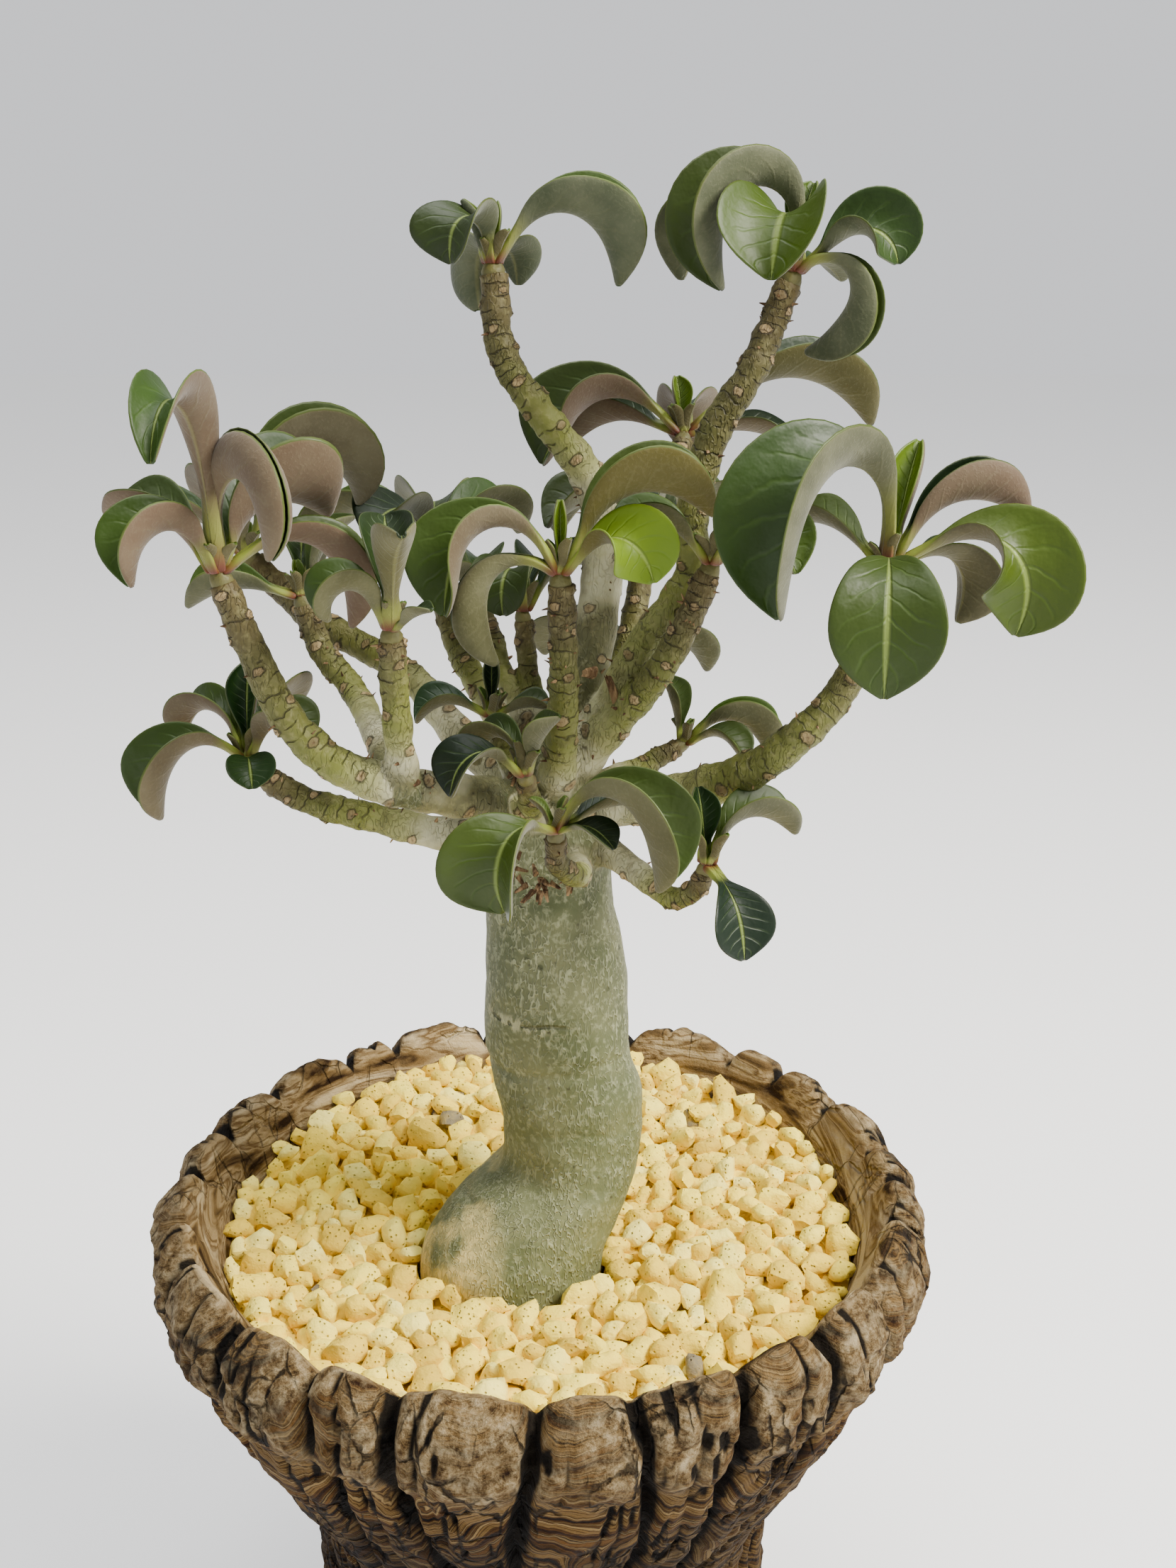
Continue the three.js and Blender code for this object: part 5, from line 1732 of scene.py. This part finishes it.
def leaf_sheet(base, leaf, seed, rows=LEAF_ROWS):
    """The upper face of a leaf: a grid laid along its midrib, folded and slightly wavy."""
    length, width, fold_base, fold_tip = leaf[2], leaf[3], leaf[6], leaf[7]
    frames = walk_midrib(base, leaf)
    deselect()
    bpy.ops.mesh.primitive_grid_add(x_subdivisions=LEAF_COLUMNS, y_subdivisions=rows, size=2)
    sheet = bpy.context.object
    sheet.name = "leaf"
    thick = sheet.vertex_groups.new(name="thick")
    for corner in sheet.data.vertices:
        column = round((corner.co.x + 1) / 2 * LEAF_COLUMNS) - HALF_COLUMNS
        share = round((corner.co.y + 1) / 2 * rows) / rows
        place, side, normal = frames[round(share * MIDRIB_STEPS)]
        petiole = 1 - smooth_step(share, PETIOLE_SHARE - 0.05, PETIOLE_SHARE + 0.13)
        fold = math.radians(fold_base + (fold_tip - fold_base) * share) * (1 - 0.5 * petiole)
        half = half_width(share, width * MM)
        out, up = across_half(fold, half, abs(column))
        margin = (abs(column) / HALF_COLUMNS) ** 2
        wave = noise.noise(Vector((share * 3.4 + seed, column * 0.35, seed * 1.7)))
        dent = noise.noise(Vector((share * 7.0, column * 0.8 + seed, seed * 0.7)))
        up += (margin * wave * 0.13 + dent * 0.02) * half * (1 - petiole)
        out *= 1 + 0.35 * (1 - smooth_step(share, 0.0, 0.09))
        side_turn = -1 if column > 0 else 1
        corner.co = place + side * (side_turn * out) + normal * (up + 0.35 * MM * petiole)
        blade = 0.62 - 0.28 * margin
        if column == 0:
            blade = 0.95 - 0.35 * share
        weight = (petiole + (1 - petiole) * blade) * min(1, 0.55 + 0.45 * length / 24)
        thick.add([corner.index], weight, "REPLACE")
    return sheet


print("a leaf has", LEAF_ROWS, "rows and", LEAF_COLUMNS, "columns")

# %% [markdown]
# A rosette's middle is the soft growing tip, with a few leaves that have only just opened. All
# leaves of a rosette are joined while they are still single faces, so that one Solidify and one
# Subdivision serve them all.

# %% The growing tip
def growing_tip(branch):
    """A knobbly rounded cone on the end of a branch."""
    tip, heading = branch_point(branch, 1), branch_heading(branch, 1)
    radius = branch[-1][3] * MM
    deselect()
    bpy.ops.mesh.primitive_ico_sphere_add(subdivisions=3, radius=1)
    bud = bpy.context.object
    turn = heading.to_track_quat("Z", "Y").to_matrix()
    for corner in bud.data.vertices:
        rise = (corner.co.z + 1) / 2
        narrow = radius * (1.0 - 0.42 * rise)
        knobbly = 1 + 0.12 * noise.noise(corner.co * 2.3 + tip * 900)
        local = Vector((corner.co.x * narrow, corner.co.y * narrow, (rise * 5.2 - 2.0) * MM))
        corner.co = tip + turn @ (local * knobbly)
    bpy.ops.object.shade_smooth()
    return bud


def young_leaves(branch, draw):
    """Three or four small upright leaves round the growing tip."""
    count = draw.choice((3, 4))
    start = draw.uniform(0, 360)
    for k in range(count):
        rise = draw.uniform(68, 88)
        size = draw.uniform(5.0, 8.0)
        yield (start + k * 137, rise, size, size * 0.42, draw.uniform(10, 45), 0.5, 50, 40, 0)


def carry(piece, **marks):
    """Gives every corner of a piece the same marks."""
    for name, value in marks.items():
        layer = piece.data.attributes.new(name, "FLOAT", "POINT")
        layer.data.foreach_set("value", [value] * len(piece.data.vertices))


print("growing tips ready")

# %% [markdown]
# No two leaves have quite the same colour. Each carries four numbers: the tone of its green, how
# fresh it is, and how pink and how olive its underside is. Rosettes differ in the last two, and
# single leaves in all of them.

# %% Tints of the leaves
PINK_BENEATH = {"c": 0.75, "e": 0.85, "i": 0.6, "g": 0.45, "r": 0.25, "a": 0.0, "b": 0.05}
OLIVE_BENEATH = {
    "k": 0.6, "s": 0.4, "n": 0.4, "o": 0.3, "q": 0.3, "m": 0.4, "a": 0.0, "b": 0.05, "f": 0.4,
}
LEAF_TINTS = {
    ("k", 3): {"fresh": 1.0, "olive": 1.0}, ("k", 1): {"olive": 0.4}, ("k", 2): {"olive": 1.0},
    ("r", 3): {"fresh": 0.35, "pink": 0.35}, ("r", 2): {"pink": 0.8}, ("r", 1): {"pink": 0.1},
    ("r", 0): {"tone": 0.35, "fresh": 0.2}, ("o", 0): {"fresh": 0.25}, ("f", 1): {"olive": 0.7},
    ("b", 1): {"fresh": 0.3}, ("k", 0): {"pink": 0.6, "olive": 0.2}, ("e", 1): {"pink": 0.8},
    ("c", 3): {"olive": 0.7, "pink": 0.1}, ("o", 1): {"olive": 0.5, "tone": 0.15, "fresh": 0.2},
    ("r", 5): {"fresh": 0.6, "pink": 0.6}, ("k", 4): {"fresh": 0.6}, ("a", 3): {"fresh": 0.5},
    ("a", 5): {"fresh": 0.5}, ("c", 2): {"fresh": 0.5}, ("b", 2): {"fresh": 0.4},
    ("p", 2): {"tone": 0.4, "fresh": 0.0},
}
print(len(LEAF_TINTS), "leaves have a colour of their own")

# %% [markdown]
# A rosette is built from its rows and its young leaves as single faces. Solidify then gives them
# their flesh from the upper face downwards, and puts the second material on the underside.

# %% A rosette
LEAF_THICKNESS = 1.5 * MM


def build_rosette(name, draw):
    branch = BRANCHES[name]
    base = branch_point(branch, 1) + branch_heading(branch, 1) * PETIOLE_HEIGHT
    sheets = []
    for index, leaf in enumerate(ROSETTES[name]):
        sheet = leaf_sheet(base, leaf, draw.uniform(0, 50))
        tint = {
            "tone": draw.random(),
            "fresh": 0.25 * draw.random(),
            "pink": PINK_BENEATH.get(name, 0.12) * draw.uniform(0.6, 1.1),
            "olive": OLIVE_BENEATH.get(name, 0.15) * draw.uniform(0.6, 1.2),
        }
        tint.update(LEAF_TINTS.get((name, index), {}))
        carry(sheet, **tint)
        sheets.append(sheet)
    for leaf in young_leaves(branch, draw):
        sheet = leaf_sheet(base, leaf, draw.uniform(0, 50), 8)
        carry(sheet, tone=draw.random(), fresh=0.4, pink=0.3, olive=0.6)
        sheets.append(sheet)
    only(sheets[0])
    for sheet in sheets:
        sheet.select_set(True)
    bpy.ops.object.join()
    rosette = bpy.context.object
    rosette.name = "rosette_" + name
    return rosette


def thicken(rosette):
    """Gives the leaves their thickness, then rounds them."""
    only(rosette)
    solid = rosette.modifiers.new("thickness", "SOLIDIFY")
    solid.thickness = LEAF_THICKNESS
    solid.offset = -1
    solid.vertex_group = "thick"
    solid.material_offset = 1
    bpy.ops.object.modifier_apply(modifier="thickness")
    rounded = rosette.modifiers.new("rounding", "SUBSURF")
    rounded.levels = 1
    rounded.render_levels = 1
    bpy.ops.object.modifier_apply(modifier="rounding")
    bpy.ops.object.shade_smooth()


print("leaves are", LEAF_THICKNESS, "m thick where they are fullest")

# %% [markdown]
# Veins follow the leaf, so they are drawn in its UV map: one axis runs from foot to tip, the other
# across. The side veins are pairs of slanting lines, the same on both halves because the way
# across is folded at the midrib.

# %% Veins
def leaf_places(finish):
    """How far along a leaf, and how far from its midrib, as patterns from 0 to 1."""
    uv = finish.node("ShaderNodeUVMap", {"uv_map": "UVMap"}, {})
    along = finish.axis("Y", uv)
    aside = finish.maths("ABSOLUTE", finish.axis("X", uv) - 0.5) * 2.0
    return along, aside


def vein_pattern(finish, along, aside):
    """The midrib, and pairs of side veins that slant towards the tip and fade outwards."""
    midrib = 1 - finish.step(aside, 0.015, 0.085)
    slanted = (along - aside * 0.16) * 10.5 + finish.noise(120.0, 2.0) * 1.1
    wave = finish.maths("ABSOLUTE", finish.maths("FRACT", slanted) - 0.5) * 2.0
    faded = 1 - finish.step(aside, 0.45, 0.92)
    side_veins = (1 - finish.step(wave, 0.0, 0.28)) * faded
    return midrib, side_veins


print("veins ready")

# %% [markdown]
# Seen from above a leaf is deep green with a waxy shine. The midrib and the finer side veins are
# paler, and so is a thin line along the margin. The petiole is pale green and turns pink at its
# foot.

# %% Upper faces
def upper_finish():
    finish = Finish("leaf_upper_face", mirrored=0.28, coat_weight=0.02, coat_roughness=0.2)
    along, aside = leaf_places(finish)
    midrib, side_veins = vein_pattern(finish, along, aside)
    tone = finish.mark("tone") * 0.55 + finish.noise(60.0, 3.0) * 0.45
    green = finish.colours(
        tone,
        [(0.2, paint(5, 17, 4)), (0.5, paint(10, 30, 8)), (0.8, paint(23, 48, 11))],
    )
    fresh = finish.blend(finish.mark("fresh") * 0.85, green, paint(102, 126, 24))
    veined = finish.blend(side_veins * 0.13, fresh, paint(82, 108, 44))
    ribbed = finish.blend(midrib * 0.52, veined, paint(134, 152, 76))
    margin = finish.blend(finish.step(aside, 0.96, 1.0) * 0.3, ribbed, paint(110, 118, 62))
    petiole = 1 - finish.step(along, PETIOLE_SHARE - 0.03, PETIOLE_SHARE + 0.10)
    stalk = finish.blend(finish.step(along, 0.01, 0.13), paint(98, 46, 32), paint(126, 136, 56))
    colour = finish.blend(petiole * 0.85, margin, stalk)
    relief = finish.noise(220.0, 3.0) * 0.6 - side_veins * 0.16 - midrib * 0.5
    roughness = finish.noise(90.0, 3.0) * 0.3 + 0.34
    return finish.wear(colour, relief, 0.0006, roughness)


print("upper faces ready")

# %% [markdown]
# From beneath a leaf is felted: taupe, with pink in some rosettes and olive in others. A little
# sheen stands for the short hairs.

# %% Undersides and growing tips
def under_finish():
    sheen = {"sheen_weight": 0.15, "sheen_roughness": 0.5}
    finish = Finish("leaf_underside", mirrored=0.25, roughness=0.66, **sheen)
    along, aside = leaf_places(finish)
    midrib, side_veins = vein_pattern(finish, along, aside)
    cloud = finish.noise(75.0, 3.0)
    felt = finish.blend(finish.step(cloud, 0.3, 0.7), paint(57, 65, 43), paint(92, 96, 72))
    pink = finish.blend(finish.mark("pink") * 0.62, felt, paint(106, 70, 62))
    olive = finish.blend(finish.mark("olive") * 0.8, pink, paint(78, 70, 5))
    grain = finish.step(finish.noise(1600.0, 2.0), 0.45, 0.7)
    felted = finish.blend(grain * 0.05, olive, paint(156, 150, 120))
    veined = finish.blend(side_veins * 0.07, felted, paint(126, 126, 88))
    ribbed = finish.blend(midrib * 0.32, veined, paint(134, 132, 84))
    margin = finish.blend(finish.step(aside, 0.96, 1.0) * 0.2, ribbed, paint(120, 114, 72))
    petiole = 1 - finish.step(along, PETIOLE_SHARE - 0.03, PETIOLE_SHARE + 0.14)
    stalk = finish.blend(finish.step(along, 0.01, 0.14), paint(96, 46, 33), paint(118, 122, 54))
    colour = finish.blend(petiole * 0.85, margin, stalk)
    relief = grain * 0.08 + side_veins * 0.12 + midrib * 0.4 + cloud * 0.6
    return finish.wear(colour, relief, 0.0004)


def bud_finish():
    finish = Finish("growing_tip", roughness=0.6)
    mottle = finish.noise(300.0, 4.0)
    colour = finish.blend(mottle, paint(58, 58, 28), paint(112, 106, 54))
    return finish.wear(colour, mottle, 0.0006)


print("undersides ready")

# %% [markdown]
# Every rosette is built the same way: its leaves as single faces, then their thickness, then the
# growing tip joined to them.

# %% Build the rosettes
leaf_materials = [upper_finish(), under_finish(), bud_finish()]
leaf_draw = random.Random(5)
for name in ROSETTES:
    rosette = build_rosette(name, leaf_draw)
    put_finish(rosette, *leaf_materials[:2])
    thicken(rosette)
    bud = growing_tip(BRANCHES[name])
    put_finish(bud, leaf_materials[2])
    only(rosette)
    bud.select_set(True)
    bpy.ops.object.join()
    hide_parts("leaves_" + name)
    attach(rosette, "root")
    print(rosette.name, len(rosette.data.polygons), "faces")

# %% [markdown]
# ## Sizes
#
# Each piece keeps the box of its solid, or a part made from the drawing wouldn't fit where the
# solid fits. The box of the whole object's solids, taken when they were loaded, is printed.

print("solids", solid_box)
